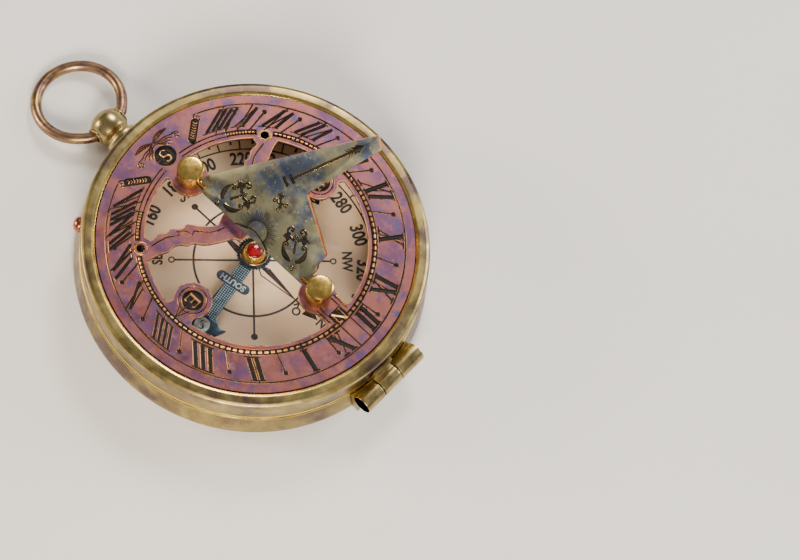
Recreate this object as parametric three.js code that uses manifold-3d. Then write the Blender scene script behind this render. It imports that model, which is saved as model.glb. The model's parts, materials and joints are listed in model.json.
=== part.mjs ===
// Brass pocket sundial with a compass under its pierced, hinged lid.
// Millimetres, +Z up. The origin is the centre of the flat base. The hinge is at +Y (dial north),
// the pendant and its bow are at -Y (dial south). The lid is closed and the gnomon is half raised.
import * as THREE from 'three';
import { mergeVertices } from 'three/addons/utils/BufferGeometryUtils.js';
import Module from 'manifold-3d';

const wasm = await Module();
wasm.setup();

// ---- driving dimensions -------------------------------------------------------------------

const GAP = 0.3; // between a cut edge and the piece that sits in it
const SEAT = 0.05; // between stacked flat pieces
const ROUND_SIDES = 72; // facets round the case and lid
const TURNED_SIDES = 20; // facets round small turned pieces

// case
const CASE_RIM_R = 38.2;
const CASE_BULGE = 1.1; // how far the wall stands out below the rim
const CASE_WALL = 1.6;
const CASE_FLOOR = 1.5;
const CASE_HEIGHT = 8.3;
const BASE_INSET = 5.7; // from the rim's radius in to the flat base
const BULGE_HEIGHT = 2.6;

// compass chamber
const CARD_PLATE_THICKNESS = 1.6;
const CARD_THICKNESS = 0.4;
const BEZEL_FLANGE_INSET = 1.4;
const BEZEL_BAND = 3.3;
const BEZEL_WALL = 1.2;
const BEZEL_PLUG = 3;
const BEZEL_RISE = 4.3; // top of the glass bezel over the case rim
const BEZEL_LIP = 0.8;
const GLASS_THICKNESS = 1.2;
const SPACER_WALL = 2;

// needle
const PIVOT_R = 0.6;
const PIVOT_FOOT_R = 1.8;
const PIVOT_FOOT = 0.6;
const PIVOT_INTO_HUB = 1.1; // tip over the blade's top
const JEWEL_CLEARANCE = 0.5; // under the glass
const NEEDLE_THICKNESS = 0.6;
const NEEDLE_TIP_CLEARANCE = 3.2;
const NEEDLE_HALF_WIDTH = 1.5;
const NEEDLE_TURN = Math.PI + THREE.MathUtils.degToRad(10); // from +X to the north end
const HUB_R = 3;
const HUB_HEIGHT = 2.1;
const HUB_BORE_R = 0.8;
const COLLET_R = 3.9;
const COLLET_THICKNESS = 0.5;
const COLLET_TEETH = 12;
const JEWEL_R = 1.65;
const JEWEL_RISE = 0.45;
const JEWEL_SEAT_DEPTH = 0.3;
const POLE_BOSS_R = 2.2;
const POLE_BOSS_THICKNESS = 0.5;
const POLE_BOSS_FROM_TIP = 9.6;
const NAME_PLATE_LENGTH = 8.3; // across the blade
const NAME_PLATE_WIDTH = 2.2;
const NAME_PLATE_THICKNESS = 0.4;
const NAME_PLATE_RADIUS = 8.3;

// lid
const LID_CLEARANCE = 0.3;
const LID_SEAM = 0.2; // between the case rim and the lid
const LID_WALL = 0.9;
const LID_HEIGHT = 7.5;
const LID_CROWN = 1; // thickness of the inturned top edge
const LID_BAND = 3.25; // width of the inturned top edge
const INNER_RING_THICKNESS = 1.1;
const INNER_RING_OVERLAP = 0.5; // the inner ring's opening is this much wider than the dial's

// dial plate
const DIAL_THICKNESS = 1;
const DIAL_BAND = 10.3;
const SOUTH_REACH = 3.9; // how far each tab's round end stands in from the opening
const NORTH_REACH = 6.3;
const SIDE_REACH = 4.5;
const TAB_R = 4.05;
const TAB_STEM_WIDTH = 6;
const SIGHT_ANGLE = THREE.MathUtils.degToRad(50); // from south, to each sight hole
const SIGHT_REACH = 0.8; // outside the opening's edge
const SIGHT_HOLE_R = 1.05;
const SIGHT_ROOT_R = 2.6; // round the hole, where the bracket's arm starts
const BRACKET_RISE = 13.63; // from the sight holes up to the bracket's north edge at the middle
const BRACKET_DEPTH = 6.8; // at the middle

// posts, nuts and gnomon
const POST_R = 2.95;
const POST_HEIGHT = 5.8;
const POST_STUD_R = 1.25;
const POST_STUD_TAIL = 3.4; // below the dial plate's top face
const NUT_R = 3.05;
const NUT_THICKNESS = 1.5;
const NUT_TEETH = 20;
const PIN_R = 0.6;
const PIN_RUNNING_FIT = 0.1;
const PIN_DEPTH = 1.5;
const GNOMON_THICKNESS = 1.2;
const GNOMON_BACK = 1.2; // straight edge behind the pivot axis
const GNOMON_AXIS_RISE = 2.4; // over the dial plate
const GNOMON_REACH = 36;
const GNOMON_TIP_Y = 8.8;
const GNOMON_TIP_WIDTH = 2.4;
const GNOMON_WAIST = 15.3;
const GNOMON_WAIST_Y = 3;
const GNOMON_HEEL = 7.7;
const GNOMON_RAISED = Math.PI / 4; // leaf angle over the dial as stored here

// hinge
const KNUCKLE_R = 2.25;
const KNUCKLE_GAP = 0.3;
const WEST_KNUCKLE_WIDTH = 6.6;
const LID_KNUCKLE_WIDTH = 5.2;
const EAST_KNUCKLE_WIDTH = 5.2;
const HINGE_PIN_R = 0.9;
const HINGE_BORE_R = 1;
const LEAF_THICKNESS = 0.9;
const LID_LEAF_HEIGHT = 5;
const CASE_LEAF_HEIGHT = 5;
const HINGE_PIN_RECESS = 0.25; // how far each end of the pin stops inside its knuckle

// pendant, bow and lid stud
const PENDANT_CLEARANCE = 0.1; // collar over the ground; its other side reaches up to the lid
const SHANK_R = 1.5;
const COLLAR_THICKNESS = 1.8;
const NECK_INSET = 1; // from the collar's radius
const NECK_LENGTH = 0.6;
const KNOB_INSET = 0.1; // from the collar's radius
const KNOB_LENGTH = 6.4;
const BOW_WIRE_R = 1.25;
const BOW_BORE_R = 1.45;
const BOW_R = 9.7; // of the ring, to the wire's centre
const STUD_ANGLE = THREE.MathUtils.degToRad(38); // from south towards east
const STUD_R = 1.75;
const STUD_DOME = 1.6;
const STUD_SHANK_R = 0.8;

// ---- places worked out from the dimensions ------------------------------------------------

const caseInnerR = CASE_RIM_R - CASE_WALL;
const bezelR = CASE_RIM_R - BEZEL_FLANGE_INSET;
const bezelInnerR = bezelR - BEZEL_BAND;
const plugR = caseInnerR - 0.2;
const plugInnerR = plugR - BEZEL_WALL;
const spacerR = plugInnerR - 0.2;
const chamberR = spacerR - SPACER_WALL;
const bezelTop = CASE_HEIGHT + BEZEL_RISE;
const glassTop = bezelTop - BEZEL_LIP - SEAT;
const glassBottom = glassTop - GLASS_THICKNESS;
const cardPlateTop = CASE_FLOOR + SEAT + CARD_PLATE_THICKNESS;
const cardTop = cardPlateTop + SEAT + CARD_THICKNESS;
const hubTop = glassBottom - JEWEL_CLEARANCE - JEWEL_RISE - SEAT;
const bladeTop = hubTop - HUB_HEIGHT - SEAT;
const bladeBottom = bladeTop - NEEDLE_THICKNESS;
const pivotTip = bladeTop + PIVOT_INTO_HUB;
const needleReach = chamberR - NEEDLE_TIP_CLEARANCE;

const lidInnerR = bezelR + LID_CLEARANCE;
const lidR = lidInnerR + LID_WALL;
const lidBottom = CASE_HEIGHT + LID_SEAM;
const lidTop = lidBottom + LID_HEIGHT;
const lidEdgeR = lidR - LID_BAND;
const dialR = lidEdgeR - 0.15;
const dialBottom = lidTop - DIAL_THICKNESS;
const openingR = dialR - DIAL_BAND;
const innerRingTop = lidTop - LID_CROWN - GAP;
const innerRingBottom = innerRingTop - INNER_RING_THICKNESS;

const southY = -(openingR - SOUTH_REACH);
const northY = openingR - NORTH_REACH;
const sideX = openingR - SIDE_REACH;
const gnomonAxisZ = lidTop + GNOMON_AXIS_RISE;
const gnomonSouthY = southY + POST_R + GAP;
const gnomonNorthY = northY - POST_R - GAP;

const hingeY = lidR + GAP + KNUCKLE_R;
const hingeZ = CASE_HEIGHT + LID_SEAM / 2;
const hingeWidth = WEST_KNUCKLE_WIDTH + LID_KNUCKLE_WIDTH + EAST_KNUCKLE_WIDTH + 2 * KNUCKLE_GAP;
const hingeWest = -hingeWidth / 2;
const lidKnuckleWest = hingeWest + WEST_KNUCKLE_WIDTH + KNUCKLE_GAP;
const lidKnuckleEast = lidKnuckleWest + LID_KNUCKLE_WIDTH;
const collarR = (lidBottom - PENDANT_CLEARANCE) / 2;
const neckR = collarR - NECK_INSET;
const knobR = collarR - KNOB_INSET;
const pendantZ = PENDANT_CLEARANCE + collarR;
const pendantWallR = caseWallR(pendantZ);
const collarY = -(pendantWallR + 0.3);
const neckY = collarY - COLLAR_THICKNESS;
const knobY = neckY - NECK_LENGTH;
const knobCentreY = knobY - KNOB_LENGTH / 2;
const bowDrop = 2 * BOW_R - 0.4; // from the knob's cross bore to the far side of the ring
const bowTilt = Math.asin((pendantZ - BOW_WIRE_R - SEAT) / bowDrop);

// ---- materials ------------------------------------------------------------------------------

function metal(color, roughness) {
  return new THREE.MeshStandardMaterial({ color, roughness, metalness: 1 });
}

function dielectric(color, roughness) {
  return new THREE.MeshStandardMaterial({ color, roughness, metalness: 0 });
}

const agedBrass = () => metal(0xa8924f, 0.38);
const brightBrass = () => metal(0xd8b45c, 0.2);
const patinaCopper = () => metal(0x9c7478, 0.42);
const darkBrass = () => metal(0x6e6a54, 0.45);
const blueSteel = () => metal(0x4a6078, 0.4);

// ---- small geometry tools -------------------------------------------------------------------

function solidOf(geometry) {
  const bare = geometry.clone();
  bare.deleteAttribute('normal');
  bare.deleteAttribute('uv');
  const welded = mergeVertices(bare, 1e-4);
  const vertProperties = new Float32Array(welded.attributes.position.array);
  const triVerts = new Uint32Array(welded.index.array);
  return new wasm.Manifold(new wasm.Mesh({ numProp: 3, vertProperties, triVerts }));
}

function geometryOf(solid) {
  const mesh = solid.getMesh();
  const geometry = new THREE.BufferGeometry();
  geometry.setAttribute('position', new THREE.BufferAttribute(new Float32Array(mesh.vertProperties), 3));
  geometry.setIndex(new THREE.BufferAttribute(new Uint32Array(mesh.triVerts), 1));
  geometry.computeVertexNormals();
  return geometry;
}

function join(first, ...others) {
  return geometryOf(others.reduce((sum, other) => sum.add(solidOf(other)), solidOf(first)));
}

function cut(body, ...tools) {
  return geometryOf(tools.reduce((rest, tool) => rest.subtract(solidOf(tool)), solidOf(body)));
}

function overlapOf(first, second) {
  return geometryOf(solidOf(first).intersect(solidOf(second)));
}

// A body turned about Z from [radius, height] points that run anticlockwise, outer wall upwards.
function turned(points, sides = ROUND_SIDES) {
  const profile = points.map(([r, z]) => new THREE.Vector2(r, z));
  const onAxis = points[0][0] === 0;
  if (!onAxis) profile.push(profile[0].clone());
  return new THREE.LatheGeometry(profile, sides).rotateX(Math.PI / 2);
}

function ring(innerR, outerR, z0, z1, sides = ROUND_SIDES) {
  return turned([[innerR, z0], [outerR, z0], [outerR, z1], [innerR, z1]], sides);
}

function disc(r, z0, z1, sides = ROUND_SIDES) {
  return turned([[0, z0], [r, z0], [r, z1], [0, z1]], sides);
}

function box(x0, x1, y0, y1, z0, z1) {
  const geometry = new THREE.BoxGeometry(x1 - x0, y1 - y0, z1 - z0);
  return geometry.translate((x0 + x1) / 2, (y0 + y1) / 2, (z0 + z1) / 2);
}

// A flat piece cut from sheet between two heights.
function sheet(shape, z0, z1, curveSegments = 12) {
  const options = { depth: z1 - z0, bevelEnabled: false, curveSegments };
  return new THREE.ExtrudeGeometry(shape, options).translate(0, 0, z0);
}

function outline(points) {
  return new THREE.Shape(points.map(([x, y]) => new THREE.Vector2(x, y)));
}

// A rod or turned piece made along +Z, laid along X or along -Y.
function alongX(geometry, x, y, z) {
  return geometry.rotateY(Math.PI / 2).translate(x, y, z);
}

function alongY(geometry, x, y, z) {
  return geometry.rotateX(Math.PI / 2).translate(x, y, z);
}

function polar(r, angleFromSouth) {
  return [r * Math.sin(angleFromSouth), -r * Math.cos(angleFromSouth)];
}

const sundial = new THREE.Group();

function add(name, geometry, material, parent = sundial) {
  const mesh = new THREE.Mesh(geometry, material);
  mesh.name = name;
  parent.add(mesh);
  return mesh;
}

// ---- case -----------------------------------------------------------------------------------

function caseOuterProfile(stand) {
  const bulgeR = CASE_RIM_R + CASE_BULGE + stand;
  const baseR = CASE_RIM_R - BASE_INSET + stand;
  const rise = CASE_HEIGHT - BULGE_HEIGHT;
  return [
    [baseR, -stand],
    [baseR + 3.6, 0.4 - stand],
    [bulgeR - 0.9, 1.3],
    [bulgeR, BULGE_HEIGHT],
    [bulgeR - 0.15, BULGE_HEIGHT + rise * 0.25],
    [bulgeR - 0.6, BULGE_HEIGHT + rise * 0.6],
    [CASE_RIM_R + stand, CASE_HEIGHT + stand],
  ];
}

function caseWallR(z) {
  const rise = CASE_HEIGHT - BULGE_HEIGHT;
  const share = THREE.MathUtils.clamp((z - BULGE_HEIGHT) / rise, 0, 1);
  return CASE_RIM_R + CASE_BULGE * (1 - share * share);
}

function keepOffCase(stand) {
  return turned([[0, -stand], ...caseOuterProfile(stand), [0, CASE_HEIGHT + stand]]);
}

function makeCaseShell() {
  const cup = turned([
    [0, 0],
    ...caseOuterProfile(0),
    [caseInnerR, CASE_HEIGHT],
    [caseInnerR, CASE_FLOOR],
    [0, CASE_FLOOR],
  ]);
  const shankHole = disc(SHANK_R + 0.15, 0, 8, TURNED_SIDES);
  return cut(cup, alongY(shankHole, 0, -caseInnerR + 2, pendantZ));
}

function makeBezelRing() {
  return turned([
    [plugInnerR, CASE_HEIGHT - BEZEL_PLUG],
    [plugR, CASE_HEIGHT - BEZEL_PLUG],
    [plugR, CASE_HEIGHT + SEAT],
    [bezelR, CASE_HEIGHT + SEAT],
    [bezelR, bezelTop - 1.6],
    [bezelR - 0.5, bezelTop - 0.6],
    [bezelR - 1.3, bezelTop],
    [bezelInnerR + 0.9, bezelTop],
    [bezelInnerR, bezelTop - 0.4],
    [bezelInnerR, bezelTop - BEZEL_LIP],
    [plugInnerR, bezelTop - BEZEL_LIP],
  ]);
}

function makePivot() {
  return turned([
    [0, cardTop + SEAT],
    [PIVOT_FOOT_R, cardTop + SEAT],
    [PIVOT_FOOT_R, cardTop + PIVOT_FOOT],
    [PIVOT_R, cardTop + PIVOT_FOOT + 0.4],
    [PIVOT_R, pivotTip - 1],
    [0, pivotTip],
  ], 16);
}

add('case_shell', makeCaseShell(), agedBrass());
add('card_plate', disc(caseInnerR - 0.2, CASE_FLOOR + SEAT, cardPlateTop), darkBrass());
add('compass_card', disc(spacerR, cardPlateTop + SEAT, cardTop), dielectric(0xe8cdbd, 0.7));
add('spacer_ring', ring(chamberR, spacerR, cardTop + SEAT, glassBottom - SEAT), patinaCopper());
const glassMaterial = dielectric(0xeef2f0, 0.05);
glassMaterial.transparent = true;
glassMaterial.opacity = 0.3;
add('glass', disc(spacerR, glassBottom, glassTop), glassMaterial);
add('bezel_ring', makeBezelRing(), agedBrass());
add('pivot', makePivot(), metal(0xb8b8b4, 0.25));

// ---- needle ---------------------------------------------------------------------------------

// Half of a winged arrow end: [distance outwards from the pole boss, half width], from the blade's
// side, round the swept-back wing and out along the spike.
const ARROW_HEAD = [[-2.9, 1.5], [-2.4, 2.2], [-1.3, 3.4], [-2, 5.25], [-0.2, 4.3], [0.9, 3.5],
  [1.9, 2.7], [2.9, 1.15], [4.6, 0.65], [7.3, 0.45]];

function makeBlade() {
  const bossX = needleReach - POLE_BOSS_FROM_TIP;
  const upper = ARROW_HEAD.map(([out, half]) => [bossX + out, half]);
  const lower = upper.map(([x, y]) => [x, -y]).reverse();
  const root = [[HUB_R - 1, NEEDLE_HALF_WIDTH], [HUB_R - 1, -NEEDLE_HALF_WIDTH]];
  const right = [...upper, [needleReach, 0], ...lower, root[1], root[0]].reverse();
  const left = right.map(([x, y]) => [-x, -y]);
  const middle = disc(HUB_R, bladeBottom, bladeTop, TURNED_SIDES);
  const bore = disc(HUB_BORE_R, bladeBottom - 1, bladeTop + 1, 16);
  const arm = (points) => sheet(outline(points), bladeBottom, bladeTop);
  return cut(join(middle, arm(right), arm(left)), bore);
}

function makeHub() {
  const base = bladeTop + SEAT;
  const seatZ = hubTop - JEWEL_SEAT_DEPTH;
  const body = turned([
    [0, base],
    [HUB_R, base],
    [HUB_R, base + 0.5],
    [JEWEL_R + 0.55, hubTop],
    [JEWEL_R + 0.1, hubTop],
    [JEWEL_R + 0.1, seatZ],
    [0, seatZ],
  ], TURNED_SIDES);
  return cut(body, disc(HUB_BORE_R, base - 1, pivotTip + 0.15, 16));
}

function makeJewel() {
  const seatZ = hubTop - JEWEL_SEAT_DEPTH + SEAT;
  const brow = seatZ + JEWEL_SEAT_DEPTH;
  return turned([
    [0, seatZ],
    [JEWEL_R, seatZ],
    [JEWEL_R, brow],
    [JEWEL_R * 0.72, brow + JEWEL_RISE * 0.7],
    [0, brow + JEWEL_RISE],
  ], TURNED_SIDES);
}

function makeCollet() {
  const points = [];
  for (let i = 0; i < COLLET_TEETH; i += 1) {
    const step = (2 * Math.PI) / COLLET_TEETH;
    for (const [share, depth] of [[0, 0], [0.5, 0], [0.5, 0.45], [0.99, 0.45]]) {
      const angle = (i + share) * step;
      const r = COLLET_R - depth;
      points.push([r * Math.cos(angle), r * Math.sin(angle)]);
    }
  }
  const toothed = sheet(outline(points), bladeTop + SEAT, bladeTop + SEAT + COLLET_THICKNESS);
  return cut(toothed, disc(HUB_R + 0.1, bladeTop - 1, bladeTop + 3, TURNED_SIDES));
}

// A round-ended plate lying across the blade.
function makeNamePlate(x) {
  const r = NAME_PLATE_WIDTH / 2;
  const reach = NAME_PLATE_LENGTH / 2 - r;
  const shape = new THREE.Shape();
  shape.absarc(x, reach, r, 0, Math.PI);
  shape.absarc(x, -reach, r, Math.PI, 2 * Math.PI);
  return sheet(shape, bladeTop + SEAT, bladeTop + SEAT + NAME_PLATE_THICKNESS, 8);
}

const needle = new THREE.Group();
needle.rotation.z = NEEDLE_TURN;
sundial.add(needle);

add('needle_blade', makeBlade(), blueSteel(), needle);
add('needle_hub', makeHub(), brightBrass(), needle);
add('needle_jewel', makeJewel(), dielectric(0xa01414, 0.15), needle);
add('needle_collet', makeCollet(), metal(0x3c4450, 0.45), needle);
for (const [pole, side] of [['north', 1], ['south', -1]]) {
  const bossX = side * (needleReach - POLE_BOSS_FROM_TIP);
  const bossTop = bladeTop + SEAT + POLE_BOSS_THICKNESS;
  const boss = disc(POLE_BOSS_R, bladeTop + SEAT, bossTop, TURNED_SIDES).translate(bossX, 0, 0);
  add(`${pole}_boss`, boss, blueSteel(), needle);
  add(`${pole}_name_plate`, makeNamePlate(side * NAME_PLATE_RADIUS), blueSteel(), needle);
}

// ---- lid ------------------------------------------------------------------------------------

function studHole() {
  const hole = disc(STUD_SHANK_R + GAP, 0, 4, 16);
  return alongY(hole, 0, -lidInnerR + 2, lidBottom + LID_HEIGHT / 2).rotateZ(STUD_ANGLE);
}

function makeLidRim() {
  const rim = turned([
    [lidInnerR, lidBottom],
    [lidR, lidBottom],
    [lidR, lidTop - 1.4],
    [lidR - 0.35, lidTop - 0.5],
    [lidR - 1.1, lidTop],
    [lidEdgeR, lidTop],
    [lidEdgeR, lidTop - LID_CROWN],
    [lidInnerR, lidTop - LID_CROWN],
  ]);
  return cut(rim, studHole());
}

// The scroll-edged bracket that spans the opening: half its outline from the middle outwards, as
// [share of the arm's span, distance south of the north edge at the middle].
const BRACKET_NORTH_EDGE = [[0.1, 0], [0.12, 0], [0.18, 1.5], [0.39, 3.7], [0.56, 6.9], [0.73, 9.1],
  [0.875, 9.7], [1.06, 9.6]];
const BRACKET_SOUTH_EDGE = [[0.93, 13], [0.75, 13], [0.66, 12], [0.59, 12.3], [0.49, 10.3],
  [0.43, 10.8], [0.36, 8.8], [0.19, 5.6]];

function makeBracket() {
  const [span, sightY] = polar(openingR + SIGHT_REACH, SIGHT_ANGLE);
  const northEdgeY = sightY + BRACKET_RISE;
  const half = [...BRACKET_NORTH_EDGE, ...BRACKET_SOUTH_EDGE];
  const east = half.map(([share, south]) => [share * span, northEdgeY - south]);
  const west = east.map(([x, y]) => [-x, y]).reverse();
  return sheet(outline([...west, ...east, [0, northEdgeY - BRACKET_DEPTH]]), dialBottom, lidTop);
}

function tab(x, y) {
  return disc(TAB_R, dialBottom, lidTop, 32).translate(x, y, 0);
}

function makeDialPlate() {
  const band = ring(openingR, dialR, dialBottom, lidTop);
  const reach = openingR + 2;
  const half = TAB_STEM_WIDTH / 2;
  const stems = [
    box(-half, half, northY, reach, dialBottom, lidTop),
    box(-half, half, -reach, southY, dialBottom, lidTop),
    box(sideX, reach, -half, half, dialBottom, lidTop),
    box(-reach, -sideX, -half, half, dialBottom, lidTop),
  ];
  const tabs = [tab(0, northY), tab(0, southY), tab(sideX, 0), tab(-sideX, 0)];
  const [sightX, sightY] = polar(openingR + SIGHT_REACH, SIGHT_ANGLE);
  const roots = [-sightX, sightX].map((x) => (
    disc(SIGHT_ROOT_R, dialBottom, lidTop, TURNED_SIDES).translate(x, sightY, 0)));
  const openwork = join(band, ...stems, ...tabs, ...roots, makeBracket());
  const through = (r, x, y) => disc(r, dialBottom - 1, lidTop + 1, TURNED_SIDES).translate(x, y, 0);
  return cut(openwork,
    through(POST_STUD_R + 0.15, 0, northY),
    through(POST_STUD_R + 0.15, 0, southY),
    through(SIGHT_HOLE_R, -sightX, sightY),
    through(SIGHT_HOLE_R, sightX, sightY));
}

const innerRing = ring(openingR + INNER_RING_OVERLAP, lidInnerR - 0.2, innerRingBottom, innerRingTop);

add('lid_rim', makeLidRim(), agedBrass());
add('lid_inner_ring', innerRing, darkBrass());
add('dial_plate', makeDialPlate(), patinaCopper());

function makePost(side) {
  const foot = lidTop + SEAT;
  const top = lidTop + POST_HEIGHT;
  const post = turned([
    [0, lidTop - POST_STUD_TAIL],
    [POST_STUD_R, lidTop - POST_STUD_TAIL],
    [POST_STUD_R, foot],
    [POST_R, foot],
    [POST_R, top - 0.7],
    [POST_R - 0.5, top - 0.1],
    [0, top],
  ], TURNED_SIDES);
  const y = side * (side > 0 ? northY : -southY);
  const bore = disc(PIN_R + PIN_RUNNING_FIT, 0, PIN_DEPTH + 1, 16);
  const mouth = y - side * (POST_R + 1);
  const deep = side > 0 ? mouth + PIN_DEPTH + 1 : mouth;
  return cut(post.translate(0, y, 0), alongY(bore, 0, deep, gnomonAxisZ));
}

function makeNut(y) {
  const points = [];
  for (let i = 0; i < NUT_TEETH; i += 1) {
    const step = (2 * Math.PI) / NUT_TEETH;
    points.push([NUT_R * Math.cos(i * step), NUT_R * Math.sin(i * step)]);
    const dip = NUT_R - 0.2;
    points.push([dip * Math.cos((i + 0.5) * step), dip * Math.sin((i + 0.5) * step)]);
  }
  const top = dialBottom - SEAT;
  const knurled = sheet(outline(points), top - NUT_THICKNESS, top);
  return cut(knurled, disc(POST_STUD_R + 0.15, top - 5, top + 1, TURNED_SIDES)).translate(0, y, 0);
}

add('north_post', makePost(1), brightBrass());
add('south_post', makePost(-1), brightBrass());
add('north_nut', makeNut(northY), brightBrass());
add('south_nut', makeNut(southY), brightBrass());

function makeStud() {
  const wall = lidR + 0.1;
  const stud = turned([
    [0, lidInnerR + 0.1 - wall],
    [STUD_SHANK_R, lidInnerR + 0.1 - wall],
    [STUD_SHANK_R, 0],
    [STUD_R, 0],
    [STUD_R, STUD_DOME * 0.35],
    [STUD_R * 0.75, STUD_DOME * 0.8],
    [0, STUD_DOME],
  ], TURNED_SIDES);
  return alongY(stud, 0, -wall, lidBottom + LID_HEIGHT / 2).rotateZ(STUD_ANGLE);
}

add('lid_stud', makeStud(), metal(0xb5683c, 0.3));

// ---- gnomon ---------------------------------------------------------------------------------

// The leaf's outline with the pivot axis on Y: the leaf reaches to -X, its straight edge is at +X.
function makeLeaf() {
  const south = gnomonSouthY;
  const north = gnomonNorthY;
  const shape = outline([
    [GNOMON_BACK, south],
    [GNOMON_BACK, north],
    [-4, north],
    [-4.6, north - 0.5],
    [-GNOMON_HEEL, north - 0.3],
    [-GNOMON_WAIST, GNOMON_WAIST_Y],
    [-(GNOMON_REACH - 2), GNOMON_TIP_Y + GNOMON_TIP_WIDTH / 2],
    [-GNOMON_REACH, GNOMON_TIP_Y - GNOMON_TIP_WIDTH / 2],
    [-3.1, south + 0.4],
    [-2.2, south],
  ]);
  const half = GNOMON_THICKNESS / 2;
  const slotR = PIN_R + 0.05;
  const slots = [south, north].map((y) => (
    box(-slotR, slotR, y - PIN_DEPTH, y + PIN_DEPTH, -half - 1, half + 1)));
  return cut(sheet(shape, -half, half), ...slots);
}

function makePin(side) {
  const leafEnd = side > 0 ? gnomonNorthY : gnomonSouthY;
  const length = 2 * PIN_DEPTH + GAP - 0.3;
  const rod = disc(PIN_R, 0, length, 16);
  const inner = leafEnd - side * (PIN_DEPTH - 0.1);
  return alongY(rod, 0, side > 0 ? inner + length : inner, 0);
}

const gnomon = new THREE.Group();
gnomon.position.z = gnomonAxisZ;
gnomon.rotation.y = GNOMON_RAISED;
sundial.add(gnomon);

add('gnomon_leaf', makeLeaf(), metal(0x7c7a66, 0.4), gnomon);
add('gnomon_north_pin', makePin(1), brightBrass(), gnomon);
add('gnomon_south_pin', makePin(-1), brightBrass(), gnomon);

// ---- hinge ----------------------------------------------------------------------------------

function knuckleBlank(x0, x1) {
  return alongX(disc(KNUCKLE_R, 0, x1 - x0, TURNED_SIDES), x0, hingeY, hingeZ);
}

function hingeBore() {
  return alongX(disc(HINGE_BORE_R, -2, hingeWidth + 2, 16), hingeWest, hingeY, hingeZ);
}

function makeCaseKnuckle(x0, x1) {
  const leafBack = pendantWallR + 0.15 + LEAF_THICKNESS;
  const leaf = box(x0, x1, leafBack - 5, leafBack, hingeZ - CASE_LEAF_HEIGHT, hingeZ);
  return cut(join(knuckleBlank(x0, x1), leaf), keepOffCase(0.15), hingeBore(), clearOfLid());
}

// Room for the lid's rim as it swings, taken from the case's knuckles.
function clearOfLid() {
  return disc(lidR + 0.2, lidBottom - 0.3, lidTop + 1);
}

function makeLidKnuckle() {
  const x0 = lidKnuckleWest;
  const x1 = lidKnuckleEast;
  const leaf = overlapOf(
    box(x0, x1, lidR - 3, lidR + LEAF_THICKNESS, hingeZ, hingeZ + LID_LEAF_HEIGHT),
    disc(lidR + LEAF_THICKNESS, hingeZ - 1, hingeZ + LID_LEAF_HEIGHT + 1),
  );
  const bridge = box(x0, x1, lidR, hingeY, hingeZ, hingeZ + KNUCKLE_R * 0.9);
  const joined = join(knuckleBlank(x0, x1), leaf, bridge);
  const rimSeat = disc(lidR + 0.1, lidBottom - 0.3, lidTop + 1);
  return cut(joined, rimSeat, keepOffCase(0.3), hingeBore());
}

function makeHingePin() {
  const length = hingeWidth - 2 * HINGE_PIN_RECESS;
  const pin = turned([
    [0, 0],
    [HINGE_PIN_R - 0.2, 0],
    [HINGE_PIN_R, 0.2],
    [HINGE_PIN_R, length - 0.2],
    [HINGE_PIN_R - 0.2, length],
    [0, length],
  ], 16);
  return alongX(pin, hingeWest + HINGE_PIN_RECESS, hingeY, hingeZ);
}

const eastKnuckle = makeCaseKnuckle(lidKnuckleEast + KNUCKLE_GAP, hingeWest + hingeWidth);
const westKnuckle = makeCaseKnuckle(hingeWest, hingeWest + WEST_KNUCKLE_WIDTH);
add('case_knuckle_east', eastKnuckle, agedBrass());
add('case_knuckle_west', westKnuckle, agedBrass());
add('lid_knuckle', makeLidKnuckle(), agedBrass());
add('hinge_pin', makeHingePin(), brightBrass());

// ---- pendant and bow ------------------------------------------------------------------------

function makePendantCollar() {
  const collar = ring(SHANK_R + 0.15, collarR, 0, COLLAR_THICKNESS + 2, TURNED_SIDES);
  return cut(alongY(collar, 0, neckY + COLLAR_THICKNESS + 2, pendantZ), keepOffCase(0.15));
}

function makePendantKnob() {
  const start = -knobY; // distances along -Y
  const shankStart = caseInnerR + 0.3;
  const middle = start + KNOB_LENGTH / 2;
  const knob = turned([
    [0, shankStart],
    [SHANK_R, shankStart],
    [SHANK_R, -neckY + SEAT],
    [neckR, -neckY + SEAT],
    [neckR, start + 0.3],
    [knobR - 0.4, start + 1],
    [knobR, middle - 0.9],
    [knobR, middle + 0.9],
    [knobR - 0.7, middle + 2.2],
    [knobR - 2.4, start + KNOB_LENGTH],
    [0, start + KNOB_LENGTH],
  ], TURNED_SIDES);
  const bore = alongX(disc(BOW_BORE_R, -knobR - 1, knobR + 1, 16), 0, -middle, pendantZ);
  return cut(alongY(knob, 0, 0, pendantZ), bore);
}

// The bow is a ring of wire whose two ends run into the knob's cross bore from either side.
function makeBow() {
  const centre = bowDrop - BOW_R;
  const half = [[knobR - 1.3, 0], [knobR + 0.3, 0.1]];
  for (let degrees = 42; degrees < 180; degrees += 23) {
    const angle = THREE.MathUtils.degToRad(degrees);
    half.push([BOW_R * Math.sin(angle), centre - BOW_R * Math.cos(angle)]);
  }
  const east = half.map(([x, drop]) => new THREE.Vector3(x, -drop, 0));
  const west = half.map(([x, drop]) => new THREE.Vector3(-x, -drop, 0)).reverse();
  const path = new THREE.CatmullRomCurve3([...east, new THREE.Vector3(0, -bowDrop, 0), ...west]);
  const sides = 10;
  const points = Array.from({ length: sides }, (_, i) => {
    const angle = ((i + 0.5) / sides) * 2 * Math.PI;
    return [BOW_WIRE_R * Math.cos(angle), BOW_WIRE_R * Math.sin(angle)];
  });
  const options = { steps: 44, bevelEnabled: false, extrudePath: path };
  return new THREE.ExtrudeGeometry(outline(points), options);
}

add('pendant_collar', makePendantCollar(), agedBrass());
add('pendant_knob', makePendantKnob(), agedBrass());
const bow = add('bow', makeBow(), darkBrass());
bow.position.set(0, knobCentreY, pendantZ);
bow.rotation.x = bowTilt;

export default sundial;
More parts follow.
